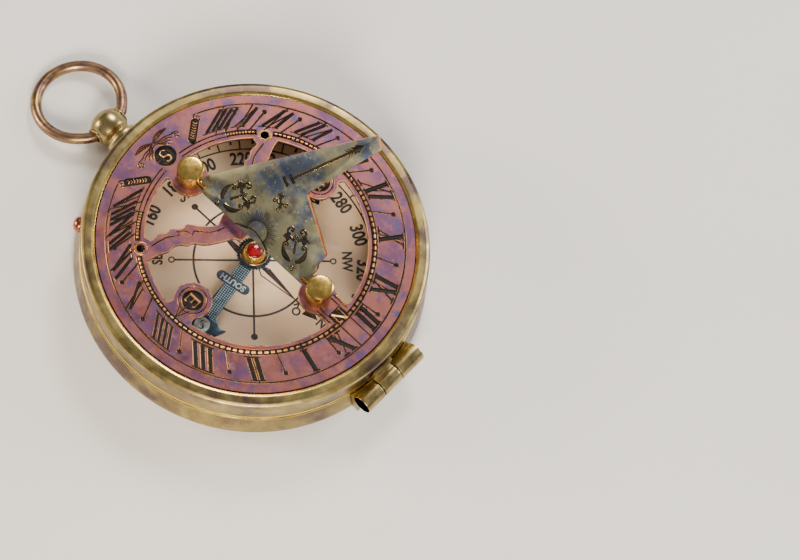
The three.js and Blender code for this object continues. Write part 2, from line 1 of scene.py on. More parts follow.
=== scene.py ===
"""Brass pocket sundial with a compass under its pierced, hinged lid.

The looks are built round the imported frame: turned cases and rims, an etched copper dial, a blued
needle, a printed card under glass, a folding gnomon, a hinge and a pendant with its bow.
"""
import json
from math import asin, atan2, cos, degrees, hypot, pi, radians, sin, sqrt, tan, tau

import bpy
from mathutils import Matrix, Vector

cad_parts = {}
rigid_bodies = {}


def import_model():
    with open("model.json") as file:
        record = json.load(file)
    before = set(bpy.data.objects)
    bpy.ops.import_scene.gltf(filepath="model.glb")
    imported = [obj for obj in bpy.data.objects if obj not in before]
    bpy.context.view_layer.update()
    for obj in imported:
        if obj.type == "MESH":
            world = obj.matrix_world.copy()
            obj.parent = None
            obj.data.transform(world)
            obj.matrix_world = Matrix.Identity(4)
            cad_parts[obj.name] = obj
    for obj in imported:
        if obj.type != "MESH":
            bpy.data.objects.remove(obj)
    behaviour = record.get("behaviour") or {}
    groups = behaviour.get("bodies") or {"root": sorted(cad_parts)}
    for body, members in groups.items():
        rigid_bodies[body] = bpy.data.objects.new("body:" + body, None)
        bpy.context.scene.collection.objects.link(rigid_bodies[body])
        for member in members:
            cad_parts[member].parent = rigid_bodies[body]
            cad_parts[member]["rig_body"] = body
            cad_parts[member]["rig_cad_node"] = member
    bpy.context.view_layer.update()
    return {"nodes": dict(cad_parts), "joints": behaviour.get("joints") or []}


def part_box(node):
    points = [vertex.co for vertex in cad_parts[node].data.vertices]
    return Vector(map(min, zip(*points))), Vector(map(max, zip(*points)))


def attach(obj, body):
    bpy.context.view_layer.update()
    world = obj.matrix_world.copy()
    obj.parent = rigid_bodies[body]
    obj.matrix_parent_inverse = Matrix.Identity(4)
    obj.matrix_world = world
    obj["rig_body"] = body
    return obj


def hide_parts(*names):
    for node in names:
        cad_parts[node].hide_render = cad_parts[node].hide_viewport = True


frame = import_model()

bl_info = {
    "name": "Pocket Sundial",
    "version": (1, 0, 0),
    "blender": (4, 5, 0),
    "location": "View3D > Sidebar > Sundial",
    "description": "Models a folding brass sundial with a compass, piece by piece",
    "category": "Add Mesh",
}

MM = 0.001
MERGE = 0.0004 * MM


# ---- places read from the frame -----------------------------------------------------------------

def low(node):
    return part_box(node)[0]


def high(node):
    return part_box(node)[1]


def radius(node):
    """Radius of a piece turned about an upright axis."""
    return (high(node).y - low(node).y) / 2


def radius_across(node):
    """Radius of a piece turned about a level axis."""
    return (high(node).z - low(node).z) / 2


def middle(node):
    return (low(node) + high(node)) / 2


LID_TOP = high("lid_rim").z
LID_BOTTOM = low("lid_rim").z
LID_R = radius("lid_rim")
DIAL_R = radius("dial_plate")
DIAL_BOTTOM = low("dial_plate").z
OPENING_R = DIAL_R - 10.3 * MM
CARD_TOP = high("compass_card").z
NORTH_Y = middle("north_post").y
SOUTH_Y = middle("south_post").y
SIDE_X = OPENING_R - 4.5 * MM
JOINT_AT = {joint["name"]: Vector(joint["pos_m"]) for joint in frame["joints"]}
GNOMON_AXIS = JOINT_AT["gnomon_fold"]
HINGE_AXIS = JOINT_AT["lid_hinge"]
BOW_AXIS = JOINT_AT["bow_swing"]
NEEDLE_TURN = radians(190)
GNOMON_RAISED = radians(45)


# ---- properties ---------------------------------------------------------------------------------

def linear(shade):
    """An sRGB hex colour as linear red, green, blue and alpha. Anything else comes back as it is."""
    if not isinstance(shade, str):
        return shade
    channels = [int(shade[i:i + 2], 16) / 255 for i in (1, 3, 5)]
    return [c / 12.92 if c <= 0.04045 else ((c + 0.055) / 1.055) ** 2.4 for c in channels] + [1.0]


def length(name, description, value_mm):
    return bpy.props.FloatProperty(
        name=name, description=description, default=value_mm * MM, unit="LENGTH", precision=5)


def colour(name, description, hex_colour):
    return bpy.props.FloatVectorProperty(
        name=name, description=description, default=linear(hex_colour), subtype="COLOR", size=4)


class SundialSizes(bpy.types.PropertyGroup):
    """Sizes of the finer shapes that the frame leaves plain."""

    sides: bpy.props.IntProperty(
        name="Turning sides", description="Facets round each large turned piece", default=192)
    hour_inner: length("Hour band, inside", "Inner radius of the hour numerals", 26.8)
    hour_outer: length("Hour band, outside", "Outer radius of the hour numerals", 32.0)
    outer_line: length("Outer line radius", "Radius of the line round the numerals", 32.5)
    style_foot: length("Style foot", "Where the hour lines meet, south of the centre", 17.0)
    edge: length("Edge bead", "Half width of the bright bead round the dial's openings", 0.13)
    etch_line: length("Etched line", "Width of a fine etched line", 0.24)
    etch_edge: length("Etched edge", "Bright metal left bare beside an etched line", 0.1)
    lens: bpy.props.FloatProperty(
        name="Lens", description="Focal length of the camera", default=99.37, subtype="DISTANCE_CAMERA")


class SundialColours(bpy.types.PropertyGroup):
    """Main colours of the finishes."""

    brass: colour("Aged brass", "Case and lid rim", "#A8925A")
    brass_tarnish: colour("Brass tarnish", "Darker patches on the aged brass", "#6F5C50")
    polished: colour("Polished brass", "Posts, hub, nuts and pins", "#E2BC62")
    copper: colour("Dial copper", "Dial plate where it is palest", "#9C625C")
    copper_violet: colour("Copper oxide", "Dial plate where it is violet", "#6C4B68")
    etching: colour("Etching", "Black in the etched lines", "#0A0808")
    steel: colour("Blued steel", "Needle", "#1F2E3F")
    card: colour("Card", "Compass card", "#F0C9A8")
    ink: colour("Ink", "Printing on the card", "#1C1216")
    ruby: colour("Jewel", "Needle's jewel", "#4E0003")


# ---- materials ----------------------------------------------------------------------------------

def start_material(name):
    material = bpy.data.materials.new(name.replace("_", " ").capitalize())
    material.use_nodes = True
    return material


def shader(material):
    return material.node_tree.nodes["Principled BSDF"]


def add_node(material, kind, inputs=None, **settings):
    """Adds a node. Settings are its own properties; inputs maps sockets to values or to sockets."""
    node = material.node_tree.nodes.new(kind)
    for key, value in settings.items():
        setattr(node, key, value)
    wire(material, node, inputs or {})
    return node


def wire(material, node, inputs):
    for key, value in inputs.items():
        if isinstance(value, bpy.types.NodeSocket):
            material.node_tree.links.new(value, node.inputs[key])
        else:
            node.inputs[key].default_value = value


def noise(material, size, detail=3.0, roughness=0.55, stretch=(1, 1, 1)):
    """Noise whose blotches are about size metres across, between 0 and 1."""
    place = add_node(material, "ShaderNodeTexCoord")
    mapping = add_node(material, "ShaderNodeMapping", {"Vector": place.outputs["Object"], "Scale": stretch})
    settings = {"Vector": mapping.outputs["Vector"], "Scale": 1 / size, "Detail": detail,
                "Roughness": roughness}
    return add_node(material, "ShaderNodeTexNoise", settings).outputs["Fac"]


def spread(material, value, low_value, high_value, to_low=0.0, to_high=1.0):
    settings = {"Value": value, "From Min": low_value, "From Max": high_value, "To Min": to_low,
                "To Max": to_high}
    return add_node(material, "ShaderNodeMapRange", settings).outputs["Result"]


def blend_colours(material, share, first, second, mode="MIX"):
    node = add_node(material, "ShaderNodeMix", data_type="RGBA", blend_type=mode)
    wire(material, node, {0: share, 6: linear(first), 7: linear(second)})
    return node.outputs[2]


def roughen(material, height, strength, distance):
    bump = add_node(material, "ShaderNodeBump",
                    {"Height": height, "Strength": strength, "Distance": distance})
    wire(material, shader(material), {"Normal": bump.outputs["Normal"]})


def worn_metal(name, clean, layers, roughness, grain=0.25, grain_depth=0.004, metallic=1.0,
               grain_dark=0.82):
    """Metal under layers of tarnish, sizes in millimetres. A layer is (colour, blotch size, start, end)
    and how far its blotches are stretched, if they are."""
    material = start_material(name)
    surface = clean
    for shade, size, start, end, *stretch in layers:
        cover = spread(material, noise(material, size * MM, 4, 0.6, *stretch), start, end)
        surface = blend_colours(material, cover, surface, shade)
    fine = noise(material, grain * MM, 2, 0.7)
    tone = spread(material, fine, 0.3, 0.7, grain_dark, 1.0)
    surface = blend_colours(material, 1.0, surface, tone, "MULTIPLY")
    broad = noise(material, grain * MM * 14, 3, 0.6)
    wire(material, shader(material), {
        "Base Color": surface,
        "Metallic": metallic,
        "Roughness": spread(material, broad, 0.3, 0.7, roughness - 0.08, roughness + 0.1),
    })
    roughen(material, fine, 0.5, grain_depth * MM)
    return material


def aged_brass(colours):
    """Turned brass, waxed and handled for years: olive gold with brown patches 5 to 13 mm across."""
    return worn_metal("aged_brass", colours.brass, [
        ("#CDB878", 5, 0.45, 0.75),
        ("#84744C", 9, 0.48, 0.7),
        (colours.brass_tarnish, 13, 0.46, 0.6),
    ], 0.34)


def handled_brass(colours):
    """Brass worn smooth by fingers: green gold with darker clouds of 3 to 8 mm and no hard-edged patches."""
    return worn_metal("handled_brass", "#B8A26E", [
        ("#86764E", 5, 0.45, 0.7),
        ("#D6C084", 3, 0.55, 0.75),
    ], 0.32)


def rubbed_brass(colours):
    """Brass kept bright by rubbing along an edge: clear yellow gold."""
    return worn_metal("rubbed_brass", "#F0CF6A", [("#C99C3E", 4, 0.5, 0.75)], 0.24)


def polished_brass(colours):
    """Polished brass on small turned parts: pale gold with a warm bloom every few millimetres."""
    return worn_metal("polished_brass", colours.polished, [
        ("#C58F3E", 3, 0.5, 0.8),
        ("#8A6A3C", 1.2, 0.66, 0.8),
    ], 0.2, grain=0.15, grain_depth=0.001, grain_dark=0.93)


def tarnished_wire(colours):
    """Brass wire that has gone pinkish brown in handling, with some gold left on it."""
    return worn_metal("tarnished_wire", "#9A7A62", [
        ("#6B5048", 4, 0.45, 0.65),
        ("#B79A5C", 6, 0.55, 0.7),
    ], 0.36)


def smoked_brass(colours):
    """Brass sheet darkened with liver of sulphur: brown gold with blue and violet clouds of 5 to 8 mm."""
    return worn_metal("smoked_brass", "#8E7C5E", [
        ("#645A6E", 8, 0.4, 0.58),
        ("#4A536A", 5, 0.55, 0.7),
        ("#B09A70", 3, 0.6, 0.75),
    ], 0.36)


def oxidised_copper(colours):
    """Copper sheet heated until it coloured: pink with violet, blue and russet clouds of 2 to 6 mm."""
    return worn_metal("oxidised_copper", colours.copper, [
        (colours.copper_violet, 4.5, 0.42, 0.62, (1, 0.6, 1)),
        ("#56527C", 2.6, 0.56, 0.7, (0.7, 1.2, 1)),
        ("#9A523E", 3.4, 0.58, 0.74),
        ("#AA6F68", 1.4, 0.6, 0.75),
    ], 0.4, grain=0.22, metallic=0.82)


def bare_copper(colours):
    """Copper rubbed bare along an edge: light orange metal."""
    return worn_metal("bare_copper", "#F4AE70", [
        ("#D88C5C", 1.5, 0.5, 0.75),
        ("#FACB7C", 3, 0.5, 0.66),
    ], 0.3, grain=0.15)


def etching_black(colours):
    """Black wax rubbed into etched lines: nearly black with a dull, slightly uneven shine."""
    material = start_material("etching_black")
    cover = spread(material, noise(material, 0.5 * MM), 0.35, 0.7)
    surface = blend_colours(material, cover, colours.etching, "#1A1513")
    roughness = spread(material, cover, 0, 1, 0.45, 0.65)
    wire(material, shader(material),
         {"Base Color": surface, "Roughness": roughness, "Specular IOR Level": 0.25})
    return material


def gnomon_brass(colours):
    """Hard brass sheet stained olive and slate blue, worn back to gold in specks of 0.5 to 2 mm."""
    return worn_metal("gnomon_brass", "#8C8A70", [
        ("#4E5A70", 9, 0.47, 0.6),
        ("#5F5A54", 3, 0.52, 0.7),
        ("#9C915E", 1.8, 0.6, 0.72),
        ("#DAD4A4", 0.7, 0.66, 0.72),
    ], 0.36, grain=0.3, grain_depth=0.008, metallic=0.9)


def blued_underside(colours):
    """The gnomon's underside: deep blue heat colour with golden brown showing through."""
    return worn_metal("blued_underside", "#34406A", [
        ("#5A5368", 7, 0.45, 0.6),
        ("#927445", 6, 0.56, 0.66),
    ], 0.34, metallic=0.9)


def gnomon_edge(colours):
    """Cut edge of the gnomon's sheet: warm orange gold."""
    return worn_metal("gnomon_edge", "#D98A42", [("#A85E2C", 3, 0.45, 0.7)], 0.3)


def stud_copper(colours):
    """Polished copper stud: orange red."""
    return worn_metal("stud_copper", "#B9705A", [("#8E4630", 1.5, 0.5, 0.75)], 0.24)


def blued_steel(colours):
    """Spring steel coloured blue by heat: slate blue with a grey cast."""
    return worn_metal("blued_steel", colours.steel, [
        ("#3C5068", 2, 0.5, 0.7),
        ("#141E2A", 4, 0.5, 0.7),
    ], 0.36, grain=0.12, metallic=0.85)


def knurled_steel(colours):
    """Tips of the rolled knurling, where the blueing has worn to pale grey."""
    return worn_metal("knurled_steel", "#A9BCCB", [("#5C7084", 1.5, 0.5, 0.7)], 0.4, metallic=0.5)


def name_blue(colours):
    """Dark blue enamel on the needle's name plates: smooth, with faint clouds."""
    material = start_material("name_blue")
    cover = spread(material, noise(material, 1.5 * MM), 0.35, 0.7)
    surface = blend_colours(material, cover, "#0C1828", "#15273C")
    wire(material, shader(material),
         {"Base Color": surface, "Roughness": 0.4, "Coat Weight": 0.15, "Coat Roughness": 0.3})
    return material


def bright_steel(colours):
    """Ground steel: pale grey with faint clouds from grinding."""
    return worn_metal("bright_steel", "#D2D4D2", [("#A9ADB0", 1.5, 0.45, 0.7)], 0.26)


def raised_letters(colours):
    """Letters rubbed bare of paint: pale cool metal."""
    return worn_metal("raised_letters", "#D8DEE2", [("#A8B4BE", 1, 0.5, 0.7)], 0.35)


def printed_card(colours):
    """Uncoated card: warm off-white with faint fibres about 0.3 mm across and uneven ageing."""
    material = start_material("printed_card")
    aged = spread(material, noise(material, 14 * MM, 3), 0.35, 0.7)
    surface = blend_colours(material, aged, colours.card, "#E4B794")
    fibres = noise(material, 0.3 * MM, 4, 0.7, (1, 0.4, 1))
    surface = blend_colours(material, 1.0, surface, spread(material, fibres, 0.3, 0.7, 0.93, 1.0),
                            "MULTIPLY")
    wire(material, shader(material), {"Base Color": surface, "Roughness": 0.75})
    roughen(material, fibres, 0.2, 0.01 * MM)
    return material


def card_ink(colours):
    """Letterpress ink: dark brown, a little uneven where the card shows through."""
    material = start_material("card_ink")
    uneven = spread(material, noise(material, 0.6 * MM), 0.4, 0.7)
    surface = blend_colours(material, uneven, colours.ink, "#30242A")
    wire(material, shader(material), {"Base Color": surface, "Roughness": 0.6})
    return material


def window_glass(colours):
    """Flat crystal glass: clear, lets lamps through, and mirrors more towards its edge."""
    material = start_material("window_glass")
    glass = shader(material)
    smears = spread(material, noise(material, 9 * MM, 3), 0.4, 0.7, 0.01, 0.05)
    wire(material, glass, {
        "Base Color": linear("#F4F8F6"), "Roughness": smears, "IOR": 1.5, "Transmission Weight": 1.0})
    clear = add_node(material, "ShaderNodeBsdfTransparent", {"Color": linear("#F4F7F4")})
    path = add_node(material, "ShaderNodeLightPath")
    mix = add_node(material, "ShaderNodeMixShader", {0: path.outputs["Is Shadow Ray"]})
    wire(material, mix, {1: glass.outputs["BSDF"], 2: clear.outputs["BSDF"]})
    wire(material, material.node_tree.nodes["Material Output"], {"Surface": mix.outputs["Shader"]})
    return material


def ruby(colours):
    """Cabochon of red glass in place of a ruby: deep red with a hard, clear shine."""
    material = start_material("ruby")
    depth = spread(material, noise(material, 1.2 * MM, 2), 0.35, 0.65)
    surface = blend_colours(material, depth, colours.ruby, "#8C0406")
    wire(material, shader(material),
         {"Base Color": surface, "Roughness": 0.08, "IOR": 1.6, "Coat Weight": 0.6})
    return material


def studio_floor(colours):
    """Pale seamless paper."""
    material = start_material("studio_floor")
    tone = spread(material, noise(material, 60 * MM, 2), 0.3, 0.7)
    surface = blend_colours(material, tone, "#ECEAE6", "#E8E5E0")
    wire(material, shader(material), {"Base Color": surface, "Roughness": 0.8})
    return material


MAKERS = {make.__name__: make for make in (
    aged_brass, handled_brass, rubbed_brass, polished_brass, tarnished_wire, smoked_brass,
    oxidised_copper, bare_copper, etching_black, gnomon_brass, blued_underside, gnomon_edge,
    stud_copper, blued_steel, knurled_steel, name_blue, bright_steel, raised_letters, printed_card,
    card_ink, window_glass, ruby, studio_floor)}
MATERIALS = {}


def finish_named(name):
    """The material of that name, made the first time that it is asked for."""
    if name not in MATERIALS:
        MATERIALS[name] = MAKERS[name](bpy.context.scene.sundial_colours)
    return MATERIALS[name]


# ---- modelling tools ----------------------------------------------------------------------------

def deselect_all():
    bpy.ops.object.select_all(action="DESELECT")


def start_edit(select="SELECT"):
    """Edit mode on the active object, with all of it selected, or none with DESELECT."""
    bpy.ops.object.mode_set(mode="EDIT")
    bpy.ops.mesh.select_all(action=select)


def end_edit():
    bpy.ops.object.mode_set(mode="OBJECT")


def make_active(piece):
    deselect_all()
    piece.select_set(True)
    bpy.context.view_layer.objects.active = piece


def name_active(name):
    piece = bpy.context.object
    piece.name = name
    piece.data.name = name
    return piece


def smooth(piece, angle=32):
    make_active(piece)
    bpy.ops.object.shade_smooth_by_angle(angle=radians(angle))
    return piece


def settle(piece):
    """Puts the piece's place, turn and scale into its mesh."""
    make_active(piece)
    bpy.ops.object.transform_apply(location=True, rotation=True, scale=True)
    return piece


def unite(pieces, name):
    deselect_all()
    for piece in pieces:
        piece.select_set(True)
    bpy.context.view_layer.objects.active = pieces[0]
    if len(pieces) > 1:
        bpy.ops.object.join()
    return name_active(name)


AXES = {
    "Z": ((0, 0, 1), lambda r, h: Vector((r, 0, h))),
    "Y": ((0, 1, 0), lambda r, h: Vector((r, h, 0))),
    "X": ((1, 0, 0), lambda r, h: Vector((h, r, 0))),
}


def turn(name, profile, centre=(0, 0, 0), axis="Z", sides=None):
    """A piece turned on a lathe from (radius, place along the axis) points."""
    direction, place = AXES[axis]
    sides = sides or bpy.context.scene.sundial_sizes.sides
    points = [place(r, h) + Vector(centre) for r, h in profile]
    deselect_all()
    bpy.ops.mesh.primitive_plane_add(size=MM, location=points[0])
    piece = name_active(name)
    settle(piece)
    start_edit()
    bpy.ops.mesh.merge(type="CENTER")
    for start, end in zip(points, points[1:]):
        bpy.ops.mesh.extrude_vertices_move(TRANSFORM_OT_translate={"value": end - start})
    bpy.ops.mesh.select_all(action="SELECT")
    bpy.ops.mesh.spin(steps=sides, angle=tau, center=centre, axis=direction)
    bpy.ops.mesh.select_all(action="SELECT")
    bpy.ops.mesh.remove_doubles(threshold=MERGE)
    bpy.ops.mesh.normals_make_consistent(inside=False)
    end_edit()
    return smooth(piece)


def round_bar(name, r, start, end, **place):
    """A plain round bar: a piece, or a tool to cut a bore with."""
    return turn(name, [(0, start), (r, start), (r, end), (0, end)], **place)


def rounded(points, bend, steps=3):
    """The points with each inner corner rounded off by an arc that starts bend before it."""
    done = [points[0]]
    for before, corner, after in zip(points, points[1:], points[2:]):
        start, end = toward(corner, before, bend), toward(corner, after, bend)
        for i in range(steps + 1):
            t = i / steps
            done.append(tuple((1 - t) ** 2 * s + 2 * t * (1 - t) * c + t * t * e
                              for s, c, e in zip(start, corner, end)))
    return done + [points[-1]]


def toward(point, other, distance):
    gap = hypot(other[0] - point[0], other[1] - point[1])
    share = min(0.45, distance / gap) if gap else 0
    return tuple(p + (o - p) * share for p, o in zip(point, other))


def closed(points, bend, steps=3):
    """A closed outline with its corners rounded, first point repeated at the end."""
    mid = tuple((a + b) / 2 for a, b in zip(points[0], points[-1]))
    return rounded([mid, *points, mid], bend, steps)


def add_spline(curve, kind, points):
    spline = curve.splines.new(kind)
    spline.points.add(len(points) - 1)
    for point, (x, y) in zip(spline.points, points):
        point.co = (x, y, 0, 1)
    return spline


def mesh_from(curve):
    """The curve's shape as a mesh piece with the curve's name."""
    name = curve.name
    piece = bpy.data.objects.new(name, curve)
    bpy.context.scene.collection.objects.link(piece)
    make_active(piece)
    bpy.ops.object.convert(target="MESH")
    return name_active(name)


def flat_piece(name, outline, bottom, top):
    """A flat piece cut from sheet to the closed outline, between two heights."""
    curve = bpy.data.curves.new(name, "CURVE")
    curve.dimensions = "2D"
    curve.fill_mode = "BOTH"
    curve.extrude = (top - bottom) / 2
    add_spline(curve, "POLY", outline).use_cyclic_u = True
    piece = mesh_from(curve)
    piece.location.z = (bottom + top) / 2
    settle(piece)
    start_edit()
    bpy.ops.mesh.remove_doubles(threshold=MERGE)
    bpy.ops.mesh.normals_make_consistent(inside=False)
    end_edit()
    return piece


def combine(piece, tool, operation):
    """Joins the tool to the piece, or cuts it out of the piece, and removes the tool."""
    make_active(piece)
    modifier = piece.modifiers.new("Combine", "BOOLEAN")
    modifier.operation = operation
    modifier.object = tool
    modifier.solver = "EXACT"
    bpy.ops.object.modifier_apply(modifier=modifier.name)
    bpy.data.objects.remove(tool)


def round_edges(piece, width, segments=2, edge_material=0):
    make_active(piece)
    modifier = piece.modifiers.new("Round", "BEVEL")
    modifier.width = width
    modifier.segments = segments
    modifier.limit_method = "ANGLE"
    modifier.angle_limit = radians(40)
    modifier.material = edge_material
    bpy.ops.object.modifier_apply(modifier=modifier.name)
    return smooth(piece)


def finish(piece, body, slot, materials, *nodes):
    """Gives the piece its finish, its body and the nodes that it stands for."""
    indices = [face.material_index for face in piece.data.polygons]
    piece.data.materials.clear()
    for name in materials:
        piece.data.materials.append(finish_named(name))
    piece.data.polygons.foreach_set("material_index", [min(i, len(materials) - 1) for i in indices])
    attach(piece, body)
    if nodes:
        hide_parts(*nodes)
    return piece


def paint_faces(piece, index, chosen):
    """Gives the faces whose centre passes the test the finish with that index."""
    for face in piece.data.polygons:
        if chosen(face.center):
            face.material_index = index


# ---- lines on a surface ---------------------------------------------------------------------------

def polar(r, angle):
    """A point by radius and angle in degrees from south towards east."""
    return (r * sin(radians(angle)), -r * cos(radians(angle)))


def arc(centre, r, start, end, steps=None):
    """Points along an arc, by angles in degrees anticlockwise from +X."""
    steps = steps or max(4, int(abs(end - start) / 6))
    angles = [radians(start + (end - start) * i / steps) for i in range(steps + 1)]
    return [(centre[0] + r * cos(a), centre[1] + r * sin(a)) for a in angles]


def spiral(centre, r_start, r_end, start, end, steps=22):
    """A curl: an arc whose radius changes evenly."""
    points = []
    for i in range(steps + 1):
        share = i / steps
        a, r = radians(start + (end - start) * share), r_start + (r_end - r_start) * share
        points.append((centre[0] + r * cos(a), centre[1] + r * sin(a)))
    return points


def sweep(r, start, end, steps=60):
    """Points round the dial's centre, by angles from south towards east."""
    return [polar(r, start + (end - start) * i / steps) for i in range(steps + 1)]


def line(points, width, end_width=None):
    """A stroke: its points and its width at each of them."""
    count = len(points) - 1
    end_width = width if end_width is None else end_width
    return [(x, y, width + (end_width - width) * i / count) for i, (x, y) in enumerate(points)]


def dot(centre, r):
    return line(arc(centre, r / 2, 0, 360, 14), r)


def placed(strokes, at, direction=0.0, scale=1.0, mirror=1):
    """Strokes scaled, mirrored across their own X, turned by degrees and moved."""
    a = radians(direction)
    done = []
    for stroke in strokes:
        done.append([(at[0] + scale * (x * cos(a) - mirror * y * sin(a)),
                      at[1] + scale * (x * sin(a) + mirror * y * cos(a)), w * scale) for x, y, w in stroke])
    return done


def in_metres(strokes):
    return [[(x * MM, y * MM, w * MM) for x, y, w in stroke] for stroke in strokes]


def bars(name, strokes, height, grow=0.0, flatness=0.03):
    """Low bars of metal or wax along the strokes, in the plane at that height."""
    curve = bpy.data.curves.new(name, "CURVE")
    curve.dimensions = "3D"
    curve.twist_mode = "Z_UP"
    curve.bevel_depth = 0.5
    curve.bevel_resolution = 0
    curve.use_fill_caps = True
    for stroke in strokes:
        spline = add_spline(curve, "POLY", [(x, y) for x, y, _ in stroke])
        for point, (_, _, w) in zip(spline.points, stroke):
            point.radius = w + grow
    piece = mesh_from(curve)
    piece.scale.z = flatness
    piece.location.z = height
    return settle(piece)


def words(name, labels, height, thickness=0.03 * MM, narrow=1.0):
    """Flat letters: each label is (text, x, y, degrees turned, letter height), centred."""
    made = []
    for text, x, y, angle, size in labels:
        deselect_all()
        bpy.ops.object.text_add(location=(x, y, height), rotation=(0, 0, radians(angle)))
        label = bpy.context.object
        label.data.body = text
        label.data.size = size / 0.72
        label.data.extrude = thickness / 2
        label.data.offset = 0.045 * size
        label.data.resolution_u = 3
        label.data.align_x, label.data.align_y = "CENTER", "CENTER"
        label.scale.x = narrow
        bpy.ops.object.convert(target="MESH")
        made.append(bpy.context.object)
    piece = unite(made, name)
    return settle(piece)


# Serif capitals as strokes in a box 1 high and about 0.9 wide, centred.
THICK, THIN, SERIF = 0.2, 0.09, 0.07


def serif(x, y, reach=0.17):
    return line([(x - reach, y), (x + reach, y)], SERIF)


def capital(letter):
    if letter == "N":
        return [line([(-0.36, -0.5), (-0.36, 0.5)], THIN), line([(0.36, -0.5), (0.36, 0.5)], THIN),
                line([(-0.36, 0.48), (0.36, -0.48)], THICK), serif(-0.4, 0.48), serif(-0.36, -0.48),
                serif(0.36, 0.48)]
    if letter == "E":
        return [line([(-0.25, -0.5), (-0.25, 0.5)], THICK), line([(-0.36, 0.46), (0.36, 0.46)], THIN),
                line([(-0.36, -0.46), (0.38, -0.46)], THIN), line([(-0.2, 0.02), (0.2, 0.02)], THIN),
                line([(0.36, 0.48), (0.36, 0.32)], THIN), line([(0.38, -0.48), (0.38, -0.3)], THIN),
                line([(0.2, 0.1), (0.2, -0.06)], SERIF)]
    if letter == "W":
        return [line([(-0.5, 0.48), (-0.25, -0.48)], THICK), line([(-0.25, -0.48), (0, 0.4)], THIN),
                line([(0, 0.4), (0.25, -0.48)], THICK), line([(0.25, -0.48), (0.5, 0.48)], THIN),
                serif(-0.5, 0.48), serif(0.5, 0.48), serif(0, 0.46, 0.1)]
    upper = arc((0, 0.24), 0.25, 20, 270, 12)
    lower = arc((0, -0.25), 0.26, 90, -150, 12)
    return [line(upper, THIN, THICK), line(lower, THICK, THIN)]


# ---- motifs ---------------------------------------------------------------------------------------

def crescent():
    """Two horns with curled tips and a small ring where they meet. The horns open towards +X."""
    strokes = [line(arc((-4.9, 0), 0.42, 0, 360, 16), 0.26), line([(-5.6, 0), (-5.35, 0)], 0.1, 0.5)]
    for side in (1, -1):
        horn = []
        for i in range(19):
            share = i / 18
            a = radians(180 - side * (11 + 87 * share))
            horn.append((3.3 * cos(a), 2.95 * sin(a),
                         0.34 + 0.86 * sin(pi * min(1, 0.12 + share * 0.95)) ** 1.1))
        strokes.append(horn)
        curl = spiral((0.35, side * 2.2), 0.78, 0.22, side * 88, side * -215)
        strokes.append(line(curl, 0.34, 0.2))
        strokes.append(dot((0.3, side * 2.25), 0.34))
    return strokes


def trefoil():
    """A sprig that grows along +X: a stem, two three-lobed leaves and two curls."""
    strokes = [line([(-1.4, 0), (1.5, 0)], 0.5), line([(-1.5, 0), (-0.9, 0)], 0.3, 0.66),
               line([(1.5, 0), (2.3, 0.62), (3.1, 0), (2.3, -0.62), (1.5, 0)], 0.26),
               line([(2.0, 0), (2.6, 0)], 0.36)]
    for side in (1, -1):
        strokes.append(line([(1.7, side * 0.5), (2.2, side * 1.3), (2.4, side * 2.1)], 0.5, 0.8))
        for x, y in ((2.35, 2.6), (1.75, 2.1), (3.0, 2.1)):
            strokes.append(dot((x, side * y), 0.52))
        strokes.append(line([(2.35, side * 2.9), (1.95, side * 3.5)], 0.5, 0.16))
        strokes.append(line(spiral((3.9, side * 1.55), 0.95, 0.62, side * 190, side * 20, 12), 0.4, 0.56))
        strokes.append(line(spiral((4.0, side * 1.45), 0.75, 0.3, side * 20, side * -180, 12), 0.5, 0.4))
        strokes.append(dot((3.85, side * 1.2), 0.34))
    return strokes


def flourish():
    """Three loops and a small three-lobed leaf on crossed stems."""
    strokes = [dot((1.3, 0.2), 0.42), dot((1.8, 0.6), 0.34), dot((1.8, -0.15), 0.34),
               line([(1.9, 0.3), (2.5, 0.5)], 0.4, 0.1),
               line([(-0.9, -0.5), (1.2, 0.2)], 0.36)]
    for x, y, start in ((0.2, 1.25, 250), (-1.3, -0.1, 330), (0.3, -1.35, 80)):
        strokes.append(line([(0, 0), (x * 0.55, y * 0.55)], 0.34))
        strokes.append(line(spiral((x, y), 0.56, 0.14, start, start + 400), 0.24, 0.16))
    return strokes


def sun_rays(centre, inner, outer, start, end, count):
    strokes = []
    for i in range(count):
        a = radians(start + (end - start) * (i + 0.5) / count)
        tip = outer if i % 2 == 0 else inner + (outer - inner) * 0.72
        strokes.append(line([(centre[0] + inner * cos(a), centre[1] + inner * sin(a)),
                             (centre[0] + tip * cos(a), centre[1] + tip * sin(a))], 0.26, 0.08))
    return strokes


def spray():
    """A twisted leaf, three fronds and a curl that sweep out from 0,0 towards +X."""
    strokes = [line(rounded([(0.2, 0), (2.2, 1.25), (4.7, 0.65)], 1.2), 0.2),
               line(rounded([(0.2, 0), (2.4, 0.25), (4.7, 0.65)], 1.2), 0.2),
               line(rounded([(0.9, 0.2), (2.4, 0.75), (3.6, 0.6)], 0.8), 0.18)]
    strokes.append(line(rounded([(0.4, -0.2), (1.6, -0.75), (2.8, -0.6), (4.0, -1.1), (5.1, -1.15)], 0.6),
                        0.22))
    strokes.append(line(spiral((5.3, -1.9), 0.78, 0.2, 105, -330), 0.22, 0.18))
    strokes.append(line(rounded([(1.2, -0.7), (2.2, -1.3), (3.1, -1.2), (4.2, -1.9)], 0.5), 0.2))
    strokes.append(line(rounded([(0.9, -0.7), (1.7, -1.6), (2.6, -1.7), (3.4, -2.5)], 0.5), 0.2))
    strokes.append(line(rounded([(0.6, -0.7), (1.2, -1.7), (2.1, -2.1), (2.7, -2.9)], 0.5), 0.2))
    return strokes


# ---- dial etching -----------------------------------------------------------------------------------

